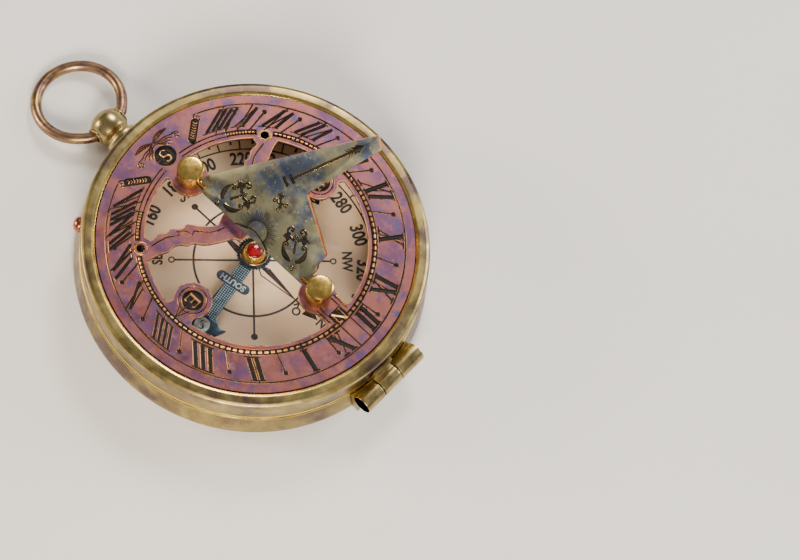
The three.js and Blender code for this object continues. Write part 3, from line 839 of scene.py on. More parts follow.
def hour_ray(hour, r, aside=0.0):
    """Where the hour's line, moved aside, crosses radius r. Millimetres; noon is hour 0, east is positive."""
    foot = bpy.context.scene.sundial_sizes.style_foot / MM
    a = radians(15 * hour)
    start = (aside * cos(a), -foot - aside * sin(a))
    along = start[0] * sin(a) + start[1] * cos(a)
    t = -along + sqrt(along * along - (start[0] ** 2 + start[1] ** 2 - r * r))
    return (start[0] + t * sin(a), start[1] + t * cos(a))


def numeral(text, hour, shift=0.0):
    """Strokes of a Roman numeral read from outside the dial; far from noon it is narrow and leans north."""
    far = abs(hour) > 3
    pitch, wide = (1.16, 2.2) if far else (1.55, 2.9)
    heavy, light = (0.6, 0.22) if far else (0.95, 0.3)
    shift += (0.5 if hour > 0 else -0.5) * far
    lean = tan(radians(max(0.0, 3.6 * (abs(hour) - 2.5)))) * (1 if hour > 0 else -1)
    sizes = bpy.context.scene.sundial_sizes
    inner, outer = sizes.hour_inner / MM + 0.35 * far, sizes.hour_outer / MM - 0.2 * far
    widths = [pitch if letter == "I" else wide for letter in text]
    reach = sum(widths) / 2
    strokes = []

    def point(across, share):
        leaning = lean * (share - 0.5) * (outer - inner)
        return hour_ray(hour, inner + (outer - inner) * share, -(across + shift + leaning))

    def foot_line(across, share, half=0.5 * pitch):
        strokes.append(line([point(across - half, share), point(across + half, share)],
                            0.18 if far else 0.28))

    start = -reach
    for letter, width in zip(text, widths):
        centre = start + width / 2
        start += width
        left, right = centre - width / 2 + 0.4, centre + width / 2 - 0.4
        if letter == "I":
            strokes.append(line([point(centre, 0.02), point(centre, 0.98)], heavy))
            foot_line(centre, 0.0)
            foot_line(centre, 1.0)
        elif letter == "V":
            strokes.append(line([point(left, 0.0), point(centre, 0.98)], heavy))
            strokes.append(line([point(right, 0.0), point(centre + 0.1, 0.98)], light))
            foot_line(left, 0.0)
            foot_line(right, 0.0)
        else:
            strokes.append(line([point(left, 0.0), point(right, 1.0)], heavy))
            strokes.append(line([point(right, 0.0), point(left, 1.0)], light))
            for across in (left, right):
                foot_line(across, 0.0)
                foot_line(across, 1.0)
    return strokes


EAST_HOURS = {1: "I", 2: "II", 3: "III", 4: "IIII", 5: "V", 6: "VI", 7: "VII", 8: "VIII"}
WEST_HOURS = {1: "XI", 2: "X", 3: "IX", 4: "VIII", 5: "VII", 6: "VI", 7: "V", 8: "IIII"}
BAND_INNER, BAND_MIDDLE, BAND_OUTER = 25.2, 25.7, 26.2
LETTER_N_Y, LETTER_S_Y = 24.5, -27.7
NOON_HALF = 1.5
SIGHT_ANGLE, SIGHT_R = 50, 25.1
ROPE_ANGLE = 18.5
BAND_END = 31


def hour_marks(sizes):
    """Hour lines, half-hour lines with their dots, and the numerals, on both sides."""
    fine = sizes.etch_line / MM
    outer = sizes.outer_line / MM
    strokes = []
    for side, names in ((1, EAST_HOURS), (-1, WEST_HOURS)):
        for hour, text in names.items():
            strokes += numeral(text, side * hour)
            strokes.append(line([hour_ray(side * hour, BAND_OUTER), hour_ray(side * hour, outer)], fine))
            half = side * (hour - 0.5)
            strokes.append(line([hour_ray(half, BAND_OUTER), hour_ray(half, 30.4)], fine))
            strokes.append(dot(hour_ray(half, 30.7), 0.5))
    return strokes


def noon_marks(sizes):
    """The split XII, the noon lines and the small rings beside them."""
    outer = sizes.outer_line / MM
    strokes = numeral("X", 0, -4.1) + numeral("II", 0, 4.0)
    for side in (1, -1):
        strokes.append(line([(side * NOON_HALF, BAND_OUTER), (side * NOON_HALF, outer)], 0.24))
        strokes.append(line(arc((side * 4.9, 27.0), 0.78, 0, 360, 20), 0.2))
        strokes.append(dot((side * 4.9, 27.0), 0.24))
    return strokes


def chequer_cells():
    """Arcs of bare metal in the black band, eight to the hour, as (start angle, end angle)."""
    cells = []
    for side in (1, -1):
        places = []
        for eighth in range(8 * 9):
            x, y = hour_ray(side * eighth / 8, BAND_MIDDLE)
            places.append(side * degrees(atan2(abs(x), -y)))
        cells += [(a + (b - a) * 0.2, b - (b - a) * 0.2) for a, b in zip(places, places[1:])
                  if abs(b) > BAND_END and abs(abs((a + b) / 2) - SIGHT_ANGLE) > 4.5]
    return cells


def band_lines():
    """The two circles of the band, broken at the sight holes and at the letter S."""
    strokes = []
    for r in (BAND_INNER, BAND_OUTER):
        for start, end in ((54, 306), (5.5, 46), (314, 354.5)):
            strokes.append(line(sweep(r, start, end), 0.2))
    for side in (1, -1):
        strokes.append(line([polar(24.9, side * BAND_END), polar(27.6, side * BAND_END)], 0.24))
    return strokes


def outer_circle(sizes):
    """The line outside the numerals, which curls in beside each rope bar."""
    outer = sizes.outer_line / MM
    start = ROPE_ANGLE + 3.5
    strokes = [line(sweep(outer, start, 360 - start, 120), 0.22)]
    for side in (1, -1):
        centre = polar(outer - 1.0, side * (ROPE_ANGLE + 2.9))
        turn_from = -90 + side * (ROPE_ANGLE + 3.5)
        strokes.append(line(spiral(centre, 1.0, 0.25, turn_from, turn_from - side * 420, 34), 0.22, 0.18))
    return strokes


ROPE_INNER, ROPE_OUTER = (6.9, -26.4), (10.4, -28.9)


def rope_point(side, share):
    x, y = (a + (b - a) * share for a, b in zip(ROPE_INNER, ROPE_OUTER))
    return (side * x, y)


def rope_bars():
    """Two black bars with round ends, east and west of the S."""
    strokes = []
    for side in (1, -1):
        strokes.append(line([rope_point(side, 0), rope_point(side, 1)], 1.8))
        strokes += [dot(rope_point(side, end), 0.9) for end in (0, 1)]
    return strokes


def rope_twists():
    """Chevrons along each rope bar."""
    strokes = []
    out = (ROPE_OUTER[0] - ROPE_INNER[0], ROPE_OUTER[1] - ROPE_INNER[1])
    size = hypot(*out)
    ux, uy = out[0] / size, out[1] / size
    for side in (1, -1):
        for i in range(7):
            x, y = rope_point(side, 0.04 + 0.145 * i)
            wings = [(x + side * (0.3 * ux - k * 0.5 * uy), y + 0.3 * uy + k * 0.5 * ux) for k in (1, -1)]
            strokes.append(line([wings[0], (x, y), wings[1]], 0.17))
    return strokes


def bracket_feathers():
    """The line that follows each arm of the bracket, with two stepped barbs."""
    rib = [(17.6, -14.9), (15.6, -14.6), (13.6, -14.1), (12.3, -13.2), (11.2, -12.5), (11.1, -13.6),
           (10.2, -12.8),
           (9.3, -11.9), (9.4, -10.5), (8.2, -11.0), (7.2, -9.7), (6.0, -8.4), (4.6, -7.5), (2.8, -6.9)]
    return [line([(side * x, y) for x, y in rib], 0.24) for side in (1, -1)]


def letter_discs():
    """Black discs behind the letters E, W and S."""
    discs = [((side * SIDE_X / MM, 0), 2.35) for side in (1, -1)] + [((0, LETTER_S_Y), 2.45)]
    return [line(arc(centre, r / 2, 0, 360, 40), r) for centre, r in discs]


def tab_lines():
    """Rings and fans of lines round the letters."""
    strokes = []
    for side in (1, -1):
        x = SIDE_X / MM
        strokes.append(line(arc((side * x, 0), 3.05, 0, 360, 48), 0.22))
        hub = (side * 25.2, 0)
        for across in (-2.3, 0, 2.3):
            strokes.append(line([hub, (side * (x + 2.3), across * 0.55)], 0.2))
        for tip in (-2.0, 2.0):
            strokes.append(line([hub, (side * 26.2, tip * 0.4)], 0.2))
    return strokes


def north_box():
    """The black square behind the letter N, which breaks the band, and the lines beside it."""
    strokes = [line([(x, 22.75), (x, 26.3)], 1.0) for x in (-1.3, -0.45, 0.45, 1.3)]
    for side in (1, -1):
        strokes.append(line([(side * 1.75, 19.6), (side * 1.75, 22.6)], 0.24))
        strokes.append(line([(side * 2.6, 20.2), (side * 2.6, 24.4)], 0.22))
    return strokes


def south_sprays():
    """The open V outside the S and the two sprays that grow from it."""
    strokes = [line([(-1.7, -30.1), (0, -31.9), (1.7, -30.1)], 0.24),
               line([(-1.1, -30.6), (0, -31.2), (1.1, -30.6)], 0.2)]
    for side in (1, -1):
        for stroke in spray():
            strokes.append([(side * x, -(31.85 + y - x * x / 130), w) for x, y, w in stroke])
    return strokes


# ---- pieces -----------------------------------------------------------------------------------------

class SUNDIAL_OT_case(bpy.types.Operator):
    """Turn the case: a shallow brass cup with a ringed base"""

    bl_idname = "sundial.case"
    bl_label = "Case"

    def execute(self, context):
        rim = radius("lid_rim") + 0.2 * MM
        bulge, top, bulge_z = rim + 1.1 * MM, high("case_shell").z, 2.6 * MM
        wall, floor = 1.6 * MM, 1.5 * MM
        base = rim - 5.7 * MM
        outside = [(bulge - 0.9 * MM, 1.2 * MM), (bulge, bulge_z), (bulge - 0.15 * MM, bulge_z + 1.4 * MM),
                   (bulge - 0.6 * MM, bulge_z + 3.4 * MM), (rim, top - 0.3 * MM)]
        grooves = []
        for r in (7 * MM, 8.2 * MM, base - 4.5 * MM, base - 3.3 * MM):
            grooves += [(r, 0), (r + 0.15 * MM, 0.16 * MM), (r + 0.45 * MM, 0.16 * MM), (r + 0.6 * MM, 0)]
        profile = [(0, 0.35 * MM), (1.2 * MM, 0.3 * MM), (1.8 * MM, 0)] + grooves
        profile += rounded([(base - 1 * MM, 0), (base, 0), (base + 0.5 * MM, 0.25 * MM),
                            (base + 3.6 * MM, 0.4 * MM),
                            *outside, (rim - 0.3 * MM, top)], 0.5 * MM, 4)
        profile += rounded([(rim - wall + 0.1 * MM, top), (rim - wall, top - 0.2 * MM), (rim - wall, floor),
                            (0, floor)],
                           0.2 * MM, 2)
        cup = turn("case_cup", profile)
        finish(cup, "case", "aged_brass", ["aged_brass", "rubbed_brass"], "case_shell")
        paint_faces(cup, 1, lambda c: c.z > top - 0.25 * MM and hypot(c.x, c.y) > rim - 0.5 * MM)
        return {"FINISHED"}


class SUNDIAL_OT_card(bpy.types.Operator):
    """Make the compass chamber: the printed card, its backing, the spacer ring and the pivot"""

    bl_idname = "sundial.card"
    bl_label = "Compass card"

    def execute(self, context):
        for node, name in (("compass_card", "printed_card"), ("card_plate", "smoked_brass")):
            plain = frame["nodes"][node]
            plain.data.materials.clear()
            plain.data.materials.append(finish_named(name))
        wall_r, inner = radius("spacer_ring"), radius("spacer_ring") - 2 * MM
        bottom, top = low("spacer_ring").z, high("spacer_ring").z
        step = 0.5 * MM
        ring = turn("spacer_wall", closed([
            (inner, bottom), (wall_r, bottom), (wall_r, top), (inner + 0.4 * MM, top),
            (inner + 0.4 * MM, top - 3 * step),
            (inner, top - 4 * step)], 0.12 * MM))
        finish(ring, "case", "patina_copper", ["oxidised_copper"], "spacer_ring")
        foot = low("pivot").z
        tip = high("pivot").z
        pivot = turn("pivot_post", [(0, foot), *rounded([
            (1.6 * MM, foot), (1.8 * MM, foot + 0.2 * MM), (1.7 * MM, foot + 0.6 * MM),
            (0.7 * MM, foot + 0.9 * MM),
            (0.6 * MM, tip - 1 * MM), (0.08 * MM, tip - 0.05 * MM)], 0.15 * MM), (0, tip)], sides=32)
        finish(pivot, "case", "bright_steel", ["bright_steel"], "pivot")
        self.print_card(CARD_TOP + 0.004 * MM)
        return {"FINISHED"}

    def print_card(self, height):
        """The ring of degrees, the numbers and the wind rose."""
        lines = bars("card_print", in_metres(self.degree_ring() + self.rose()), height, flatness=0.03)
        finish(lines, "case", "card", ["card_ink"])
        labels = []
        for value in range(0, 360, 20):
            x, y = polar(24.5 * MM, 180 - value)
            labels.append((str(value or 360), x, y, -value, 3.0 * MM))
        for text, bearing, extra_turn in (("N", 0, 90), ("E", 90, -90), ("S", 180, 90), ("W", 270, 90),
                                          ("NE", 45, 0), ("SE", 135, 0), ("SW", 225, 0), ("NW", 315, 0)):
            x, y = polar(20.9 * MM, 180 - bearing)
            labels.append((text, x, y, extra_turn - bearing, 2.3 * MM))
        numbers = words("card_numbers", labels, height, narrow=0.82)
        finish(numbers, "case", "card", ["card_ink"])

    def degree_ring(self):
        strokes = []
        for r, width in ((32.4, 0.4), (29.4, 0.36), (27.0, 0.36)):
            strokes.append(line(arc((0, 0), r, 0, 360, 144), width))
        for value in range(0, 360, 2):
            outer, inner = 32.4, 27.0 if value % 10 == 0 else (28.2 if value % 10 == 4 else 29.4)
            strokes.append(line([polar(inner, value), polar(outer, value)],
                                0.36 if value % 10 == 0 else 0.48))
        return strokes

    def rose(self):
        """A four-pointed star in a circle, eight lines with small rings, and the north arrow."""
        strokes = [line(arc((0, 0), 13.1, 0, 360, 96), 0.5)]
        for i in range(8):
            angle = 45 * i
            ring_at = 17.9
            if i != 4:
                strokes.append(line([polar(1.6, angle), polar(ring_at - 0.7, angle)], 0.46))
                strokes.append(line(arc(polar(ring_at, angle), 0.6, 0, 360, 14), 0.34))
                if i in (0, 3, 7):
                    strokes.append(dot(polar(ring_at, angle), 0.55))
        for i in range(4):
            angle = 90 * i
            tip, spread_by = polar(13.1, angle), degrees(1.25 / 3.9)
            strokes.append(line([polar(3.9, angle + spread_by / 2), tip], 1.4, 0.2))
            strokes.append(line([polar(1.6, angle), polar(3.9, angle + spread_by / 2)], 0.2, 1.3))
            strokes.append(line([polar(1.6, angle), polar(3.9, angle - spread_by), tip], 0.34, 0.26))
        strokes += self.north_arrow()
        return strokes

    def north_arrow(self):
        """A shaft that crosses itself in two loops and ends in a solid head."""
        strokes = [line([(0, 13.1), (0, 16.6)], 0.45), line([(0, 16.3), (0, 19.8)], 2.9, 0.06)]
        for side in (1, -1):
            strokes.append(line(arc((side * 1.85, 15.0), 0.8, 0, 360, 20), 0.42))
            strokes.append(line([(side * 1.2, 14.7), (-side * 1.2, 13.6)], 0.42))
        return strokes


class SUNDIAL_OT_window(bpy.types.Operator):
    """Make the glass and the bezel ring that holds it"""

    bl_idname = "sundial.window"
    bl_label = "Glass and bezel"

    def execute(self, context):
        r, bottom, top = radius("glass"), low("glass").z, high("glass").z
        chamfer = 0.25 * MM
        pane = turn("glass_pane", [(0, bottom), (r - chamfer, bottom), (r, bottom + chamfer),
                                   (r, top - chamfer),
                                   (r - chamfer, top), (0, top)])
        finish(pane, "case", "glass", ["window_glass"], "glass")
        outer, z0, z1 = radius("bezel_ring"), low("bezel_ring").z, high("bezel_ring").z
        inner, plug, plug_in = outer - 3.3 * MM, outer - 0.4 * MM, outer - 1.6 * MM
        seat, case_top = z1 - 0.8 * MM, high("case_shell").z
        bead = [(outer, z1 - 2.2 * MM), (outer - 0.18 * MM, z1 - 2.05 * MM),
                (outer - 0.18 * MM, z1 - 1.8 * MM),
                (outer, z1 - 1.65 * MM)]
        ring = turn("bezel_band", closed([
            (plug_in, z0), (plug, z0), (plug, case_top + 0.05 * MM), (outer, case_top + 0.05 * MM), *bead,
            (outer - 0.12 * MM, z1 - 1.1 * MM), (outer - 0.5 * MM, z1 - 0.5 * MM), (outer - 1.3 * MM, z1),
            (inner + 0.9 * MM, z1 - 0.05 * MM), (inner + 0.15 * MM, z1 - 0.35 * MM), (inner, z1 - 0.5 * MM),
            (inner, seat), (plug_in, seat)], 0.22 * MM, 4))
        finish(ring, "case", "aged_brass", ["aged_brass", "rubbed_brass"], "bezel_ring")
        paint_faces(ring, 1, lambda c: c.z > z1 - 0.45 * MM and hypot(c.x, c.y) < inner + 0.5 * MM)
        return {"FINISHED"}


ARROW_HEAD = [(-2.9, 1.5), (-2.4, 2.2), (-1.3, 3.4), (-2, 5.25), (-0.2, 4.3), (0.9, 3.5), (1.9, 2.7),
              (2.9, 1.15), (4.6, 0.65), (7.3, 0.45)]
BOSS_AT = 20.2


class SUNDIAL_OT_needle(bpy.types.Operator):
    """Make the compass needle: blade, knurling, hub, jewel, collet, pole bosses and name plates"""

    bl_idname = "sundial.needle"
    bl_label = "Needle"

    def execute(self, context):
        self.blade_bottom, self.blade_top = low("needle_blade").z, high("needle_blade").z
        self.blade()
        self.knurling()
        self.hub()
        self.collet()
        for pole, side, letter in (("north", 1, "N"), ("south", -1, "S")):
            self.boss(pole, side * BOSS_AT * MM, letter)
            self.name_plate(pole, side * 8.3 * MM)
        return {"FINISHED"}

    def swing(self, piece):
        """Turns a piece made with north along +X to where the needle points."""
        piece.rotation_euler.z = NEEDLE_TURN
        return settle(piece)

    def half_outline(self):
        reach = 29.8
        upper = [(BOSS_AT + out, half) for out, half in ARROW_HEAD]
        tip = rounded([(2.4, 1.5), *upper, (reach, 0)], 0.7, 3)
        lower = [(x, -y) for x, y in reversed(tip[:-1])]
        return [(x * MM, y * MM) for x, y in tip + lower]

    def blade(self):
        half = self.half_outline()
        other = [(-x, -y) for x, y in half]
        blade = flat_piece("needle_bar", half + other, self.blade_bottom, self.blade_top)
        blade.data.materials.append(finish_named("blued_steel"))
        round_edges(blade, 0.1 * MM)
        finish(self.swing(blade), "needle", "blued_steel", ["blued_steel"], "needle_blade")

    def knurling(self):
        """A field of small pyramids down each arm and onto the arrow heads."""
        pitch, rise = 0.5 * MM, 0.13 * MM
        fields = []
        for start, end, half_rows in ((3.6, 17.0, 3), (17.5, 18.0, 5), (22.6, 23.4, 4), (23.4, 26, 2)):
            for side in (1, -1):
                deselect_all()
                bpy.ops.mesh.primitive_cone_add(vertices=4, radius1=pitch * 0.42, radius2=pitch * 0.22,
                                                depth=rise,
                                                location=(0, 0, 0), rotation=(0, 0, radians(45)))
                field = bpy.context.object
                settle(field)
                first = start * MM if side > 0 else -end * MM
                field.location = (first, -(half_rows - 0.5) * pitch, self.blade_top + rise / 2 - 0.02 * MM)
                settle(field)
                for count, offset in ((max(2, round((end - start) * MM / pitch)), (pitch, 0, 0)),
                                      (2 * half_rows, (0, pitch, 0))):
                    array = field.modifiers.new("Repeat", "ARRAY")
                    array.count = count
                    array.use_relative_offset = False
                    array.use_constant_offset = True
                    array.constant_offset_displace = offset
                    bpy.ops.object.modifier_apply(modifier=array.name)
                fields.append(field)
        piece = self.swing(unite(fields, "needle_knurling"))
        finish(piece, "needle", "blued_steel", ["knurled_steel"])

    def hub(self):
        base, top, r = low("needle_hub").z, high("needle_hub").z, 3.0 * MM
        seat = low("needle_jewel").z - 0.05 * MM
        jewel = 1.65 * MM
        hub = turn("needle_hub_cone", [(0.8 * MM, base), *rounded([
            (r - 0.1 * MM, base), (r, base + 0.1 * MM), (r, base + 0.45 * MM),
            (r - 0.25 * MM, base + 0.65 * MM),
            (jewel + 0.62 * MM, top - 0.25 * MM), (jewel + 0.5 * MM, top), (jewel + 0.12 * MM, top),
            (jewel + 0.08 * MM, seat)], 0.14 * MM, 3), (0.8 * MM, seat), (0.8 * MM, base)], sides=96)
        finish(hub, "needle", "bright_brass", ["polished_brass"], "needle_hub")
        crown = high("needle_jewel").z
        dome = [(jewel * sin(radians(a)), seat + 0.3 * MM + (crown - seat - 0.3 * MM) * cos(radians(a)))
                for a in range(90, -1, -9)]
        stone = turn("jewel_cabochon", [(0, seat + 0.05 * MM), (jewel - 0.1 * MM, seat + 0.05 * MM),
                                        (jewel, seat + 0.15 * MM), *dome], sides=72)
        finish(stone, "needle", "jewel", ["ruby"], "needle_jewel")

    def collet(self):
        teeth, outer, root = 36, 3.9 * MM, 3.6 * MM
        outline = []
        for i in range(teeth):
            start = 360 * i / teeth
            outline += arc((0, 0), outer, start + 1, start + 4, 1)
            outline += arc((0, 0), root, start + 6, start + 9, 1)
        bottom, top = low("needle_collet").z, high("needle_collet").z
        star = flat_piece("collet_star", outline, bottom, top)
        bore = round_bar("collet_bore", 3.1 * MM, bottom - MM, top + MM, sides=64)
        combine(star, bore, "DIFFERENCE")
        star.data.materials.append(finish_named("blued_steel"))
        round_edges(star, 0.07 * MM)
        finish(self.swing(star), "needle", "blued_steel", ["blued_steel"], "needle_collet")

    def boss(self, pole, x, letter):
        """A round pad with a raised rim and the pole's letter."""
        node = f"{pole}_boss"
        bottom, top, r = low(node).z, high(node).z, radius(node)
        rim = turn(f"{pole}_pad", [(0, bottom), *rounded([
            (r, bottom), (r, top), (r - 0.45 * MM, top), (r - 0.5 * MM, top - 0.22 * MM)], 0.1 * MM),
            (0, top - 0.22 * MM)], centre=(x, 0, 0), sides=64)
        rim.data.materials.append(finish_named("blued_steel"))
        rim.data.materials.append(finish_named("bright_steel" if pole == "south" else "name_blue"))
        paint_faces(rim, 1, lambda c: hypot(c.x - x, c.y) < r - 0.5 * MM and c.z > bottom + 0.1 * MM)
        face = ["blued_steel", "bright_steel" if pole == "south" else "name_blue"]
        finish(self.swing(rim), "needle", "blued_steel", face, node)
        strokes = placed(in_metres(capital(letter)), (x, 0), -90 if x > 0 else 90, 2.1)
        mark = self.swing(bars(f"{pole}_pad_letter", strokes, top - 0.21 * MM, flatness=0.12))
        finish(mark, "needle", "blued_steel", ["raised_letters" if pole == "north" else "name_blue"])

    def name_plate(self, pole, x):
        node = f"{pole}_name_plate"
        bottom, top = low(node).z, high(node).z
        half, r = 4.15 * MM, 1.1 * MM
        outline = arc((x, half - r), r, 0, 180, 12) + arc((x, r - half), r, 180, 360, 12)
        plate = flat_piece(f"{pole}_label", outline, bottom, top)
        plate.data.materials.append(finish_named("name_blue"))
        round_edges(plate, 0.1 * MM)
        finish(self.swing(plate), "needle", "blued_steel", ["name_blue"], node)
        text = words(f"{pole}_label_text", [(pole.upper(), x, 0, -90 if x > 0 else 90, 1.35 * MM)],
                     top + 0.02 * MM, 0.06 * MM)
        finish(self.swing(text), "needle", "blued_steel", ["raised_letters"])


class SUNDIAL_OT_lid_rim(bpy.types.Operator):
    """Turn the lid's rim and the ring plate that shows when the lid is open"""

    bl_idname = "sundial.lid_rim"
    bl_label = "Lid rim"

    def execute(self, context):
        outer, top, bottom = LID_R, LID_TOP, LID_BOTTOM
        inner, edge = outer - 0.9 * MM, outer - 3.25 * MM
        crown = 1 * MM
        profile = closed([
            (inner, bottom), (outer - 0.15 * MM, bottom), (outer, bottom + 0.2 * MM),
            (outer, bottom + 0.75 * MM),
            (outer - 0.22 * MM, bottom + 0.95 * MM), (outer - 0.22 * MM, top - 1.7 * MM),
            (outer, top - 1.5 * MM),
            (outer, top - 1.0 * MM), (outer - 0.3 * MM, top - 0.4 * MM),
            (outer - 1.0 * MM, top - 0.05 * MM),
            (edge + 0.75 * MM, top), (edge + 0.12 * MM, top - 0.22 * MM), (edge, top - 0.45 * MM),
            (edge, top - crown), (inner, top - crown)], 0.2 * MM, 4)
        rim = turn("lid_band", profile)
        finish(rim, "lid", "aged_brass", ["aged_brass", "rubbed_brass"], "lid_rim")
        paint_faces(rim, 1, lambda c: hypot(c.x, c.y) < edge + 0.62 * MM and c.z > top - 0.6 * MM)
        paint_faces(rim, 1, lambda c: hypot(c.x, c.y) > outer - 0.12 * MM and c.z < bottom + 0.9 * MM)
        self.ring_plate()
        return {"FINISHED"}

    def ring_plate(self):
        """The plate under the dial, engraved on the side that faces down."""
        outer, bottom, top = radius("lid_inner_ring"), low("lid_inner_ring").z, high("lid_inner_ring").z
        inner = 24.8 * MM
        groove = 35.4 * MM
        plate = turn("ring_plate", closed([
            (inner, bottom), (groove - 0.2 * MM, bottom), (groove, bottom + 0.25 * MM),
            (groove + 0.3 * MM, bottom + 0.25 * MM), (groove + 0.5 * MM, bottom), (outer, bottom),
            (outer, top),
            (inner, top)], 0.12 * MM))
        finish(plate, "lid", "dark_brass", ["smoked_brass", "etching_black"], "lid_inner_ring")
        # Painted shade: the top face, which lies under the dial plate, gets the etching's black so that it
        # reads dark through the dial's openings.
        paint_faces(plate, 1, lambda c: c.z > top - 0.05 * MM)
        strokes, rays = [], []
        for quarter in range(4):
            angle = 90 * quarter
            strokes += self.ring_sun(angle)
            rays += sun_rays(polar(29.6, angle), 3.9, 6.0, angle - 215, angle + 35, 36)
            for k in range(4):
                at = angle + 21 + 16 * k
                side = 1 if k % 2 == 0 else -1
                strokes += placed(crescent() + trefoil(), polar(30.9, at), at - 90 + 90 * side, 0.86, side)
        for r in (25.6, 34.9):
            strokes.append(line(arc((0, 0), r, 0, 360, 120), 0.22))
        edges = bars("ring_plate_engraving_edges", in_metres(strokes), bottom, 0.16 * MM)
        finish(edges, "lid", "dark_brass", ["rubbed_brass"])
        mark = bars("ring_plate_engraving", in_metres(strokes + rays), bottom - 0.02 * MM)
        finish(mark, "lid", "dark_brass", ["etching_black"])

    def ring_sun(self, angle):
        """A sun rising from the plate's inner edge, with its rays fanned outwards."""
        centre = polar(29.6, angle)
        strokes = [line(arc(centre, 3.4, angle - 210, angle + 30, 40), 0.24)]
        wave = [(-5.6, 2.3), (-3.4, 2.2), (-1.8, 1.5), (0.2, 1.9), (2.0, 2.5), (3.8, 2.3), (5.6, 2.6)]
        strokes += placed([line(rounded(wave, 1.0), 0.24)], centre, angle)
        return strokes


class SUNDIAL_OT_dial_plate(bpy.types.Operator):
    """Cut the pierced dial plate: band, four lettered tabs and the scroll bracket"""

    bl_idname = "sundial.dial_plate"
    bl_label = "Dial plate"

    def execute(self, context):
        bottom, top, r_in = DIAL_BOTTOM, LID_TOP, OPENING_R
        band = turn("dial_openwork", [(r_in, bottom), (DIAL_R, bottom), (DIAL_R, top), (r_in, top),
                                      (r_in, bottom)])
        for x, y in ((0, NORTH_Y), (0, SOUTH_Y), (SIDE_X, 0), (-SIDE_X, 0)):
            combine(band, self.stem(x, y), "UNION")
            combine(band, self.disc("tab", (x, y), 4.05 * MM, bottom, top), "UNION")
        sights = [polar(SIGHT_R * MM, side * SIGHT_ANGLE) for side in (1, -1)]
        for sight in sights:
            combine(band, self.disc("root", sight, 2.6 * MM, bottom, top), "UNION")
        combine(band, self.bracket(), "UNION")
        for sight in sights:
            combine(band, self.disc("sight", sight, 1.05 * MM, bottom - MM, top + MM), "DIFFERENCE")
        for y in (NORTH_Y, SOUTH_Y):
            combine(band, self.disc("stud_way", (0, y), 1.4 * MM, bottom - MM, top + MM), "DIFFERENCE")
        band.data.materials.append(finish_named("oxidised_copper"))
        band.data.materials.append(finish_named("bare_copper"))
        self.rubbed_edges(band, context.scene.sundial_sizes.edge)
        round_edges(band, 0.1 * MM, 2, 1)
        finish(band, "lid", "patina_copper", ["oxidised_copper", "bare_copper"], "dial_plate")
        self.underside_rings(bottom)
        return {"FINISHED"}

    def rubbed_edges(self, band, width):
        """A fine rounded bead of bare copper along the top edges of the openings."""
        make_active(band)
        start_edit("DESELECT")
        bpy.ops.mesh.select_mode(type="EDGE")
        bpy.ops.mesh.edges_select_sharp(sharpness=radians(50))
        bpy.ops.mesh.duplicate()
        bpy.ops.mesh.separate(type="SELECTED")
        bpy.ops.mesh.select_mode(type="VERT")
        end_edit()
        wires = [piece for piece in bpy.context.selected_objects if piece != band][0]
        make_active(wires)
        for vertex in wires.data.vertices:
            spot = vertex.co
            vertex.select = spot.z < LID_TOP - 0.01 * MM or hypot(spot.x, spot.y) > DIAL_R - 0.1 * MM
        bpy.ops.object.mode_set(mode="EDIT")
        bpy.ops.mesh.delete(type="VERT")
        end_edit()
        bpy.ops.object.convert(target="CURVE")
        curve = bpy.context.object.data
        curve.bevel_depth = width
        curve.bevel_resolution = 1
        bpy.ops.object.convert(target="MESH")
        bead = name_active("dial_opening_edges")
        bead.location.z = -width / 2
        settle(bead)
        bead.data.polygons.foreach_set("material_index", [0] * len(bead.data.polygons))
        finish(smooth(bead, 60), "lid", "patina_copper", ["bare_copper"])

    def disc(self, name, at, r, bottom, top):
        return round_bar(name, r, bottom, top, centre=(at[0], at[1], 0), sides=72)

    def stem(self, x, y):
        """A tab's stem, drawn towards +Y and turned to its side; it flares where it meets the band."""
        reach, start, half = OPENING_R + 2 * MM, hypot(x, y), 3.0 * MM
        edge = []
        for i in range(13):
            share = i / 12
            out = start + (reach - start) * share
            near = max(0.0, 1 - (OPENING_R - out) / (1.5 * MM)) if out < OPENING_R else 1.0
            edge.append((half + 0.9 * MM * min(1.0, near) ** 2, out))
        outline = edge + [(-px, py) for px, py in reversed(edge)]
        piece = flat_piece("stem", outline, DIAL_BOTTOM, LID_TOP)
        piece.rotation_euler.z = atan2(y, x) - pi / 2
        return settle(piece)

    def bracket(self):
        """The scroll-edged arm between the sight holes: half its outline from the middle outwards."""
        north = [(1.8, -2.5), (2.5, -2.7), (3.4, -4.0), (5.2, -4.9), (7.5, -6.2), (9.0, -7.4), (10.2, -9.2),
                 (11.6, -9.6), (12.4, -10.9), (14.0, -11.6), (15.6, -11.5), (16.8, -12.2), (18.6, -12.9),
                 (21.0, -13.4)]
        south = [(18.6, -16.6), (16.0, -15.6), (14.4, -15.7), (12.7, -14.5), (11.4, -14.9), (10.6, -13.9),
                 (9.4, -12.8), (8.3, -13.4), (7.4, -12.2), (6.9, -11.3), (5.4, -9.7), (3.7, -8.2),
                 (1.8, -8.9)]
        half = [(x * MM, y * MM) for x, y in north + south]
        west = [(-x, y) for x, y in reversed(half)]
        outline = closed(half + [(0, -9.5 * MM)] + west, 0.6 * MM, 3)
        return flat_piece("bracket", outline[:-1], DIAL_BOTTOM, LID_TOP)

    def underside_rings(self, height):
        strokes = [line(arc((0, -6.0), 1.7, 0, 360, 32), 0.2), line(arc((0, -6.0), 1.1, 0, 360, 28), 0.16)]
        for side in (1, -1):
            strokes.append(line(arc((side * SIDE_X / MM, 0), 3.3, 0, 360, 40), 0.2))
        mark = bars("dial_underside_rings", in_metres(strokes), height - 0.004 * MM, flatness=0.1)
        finish(mark, "lid", "patina_copper", ["bare_copper"])


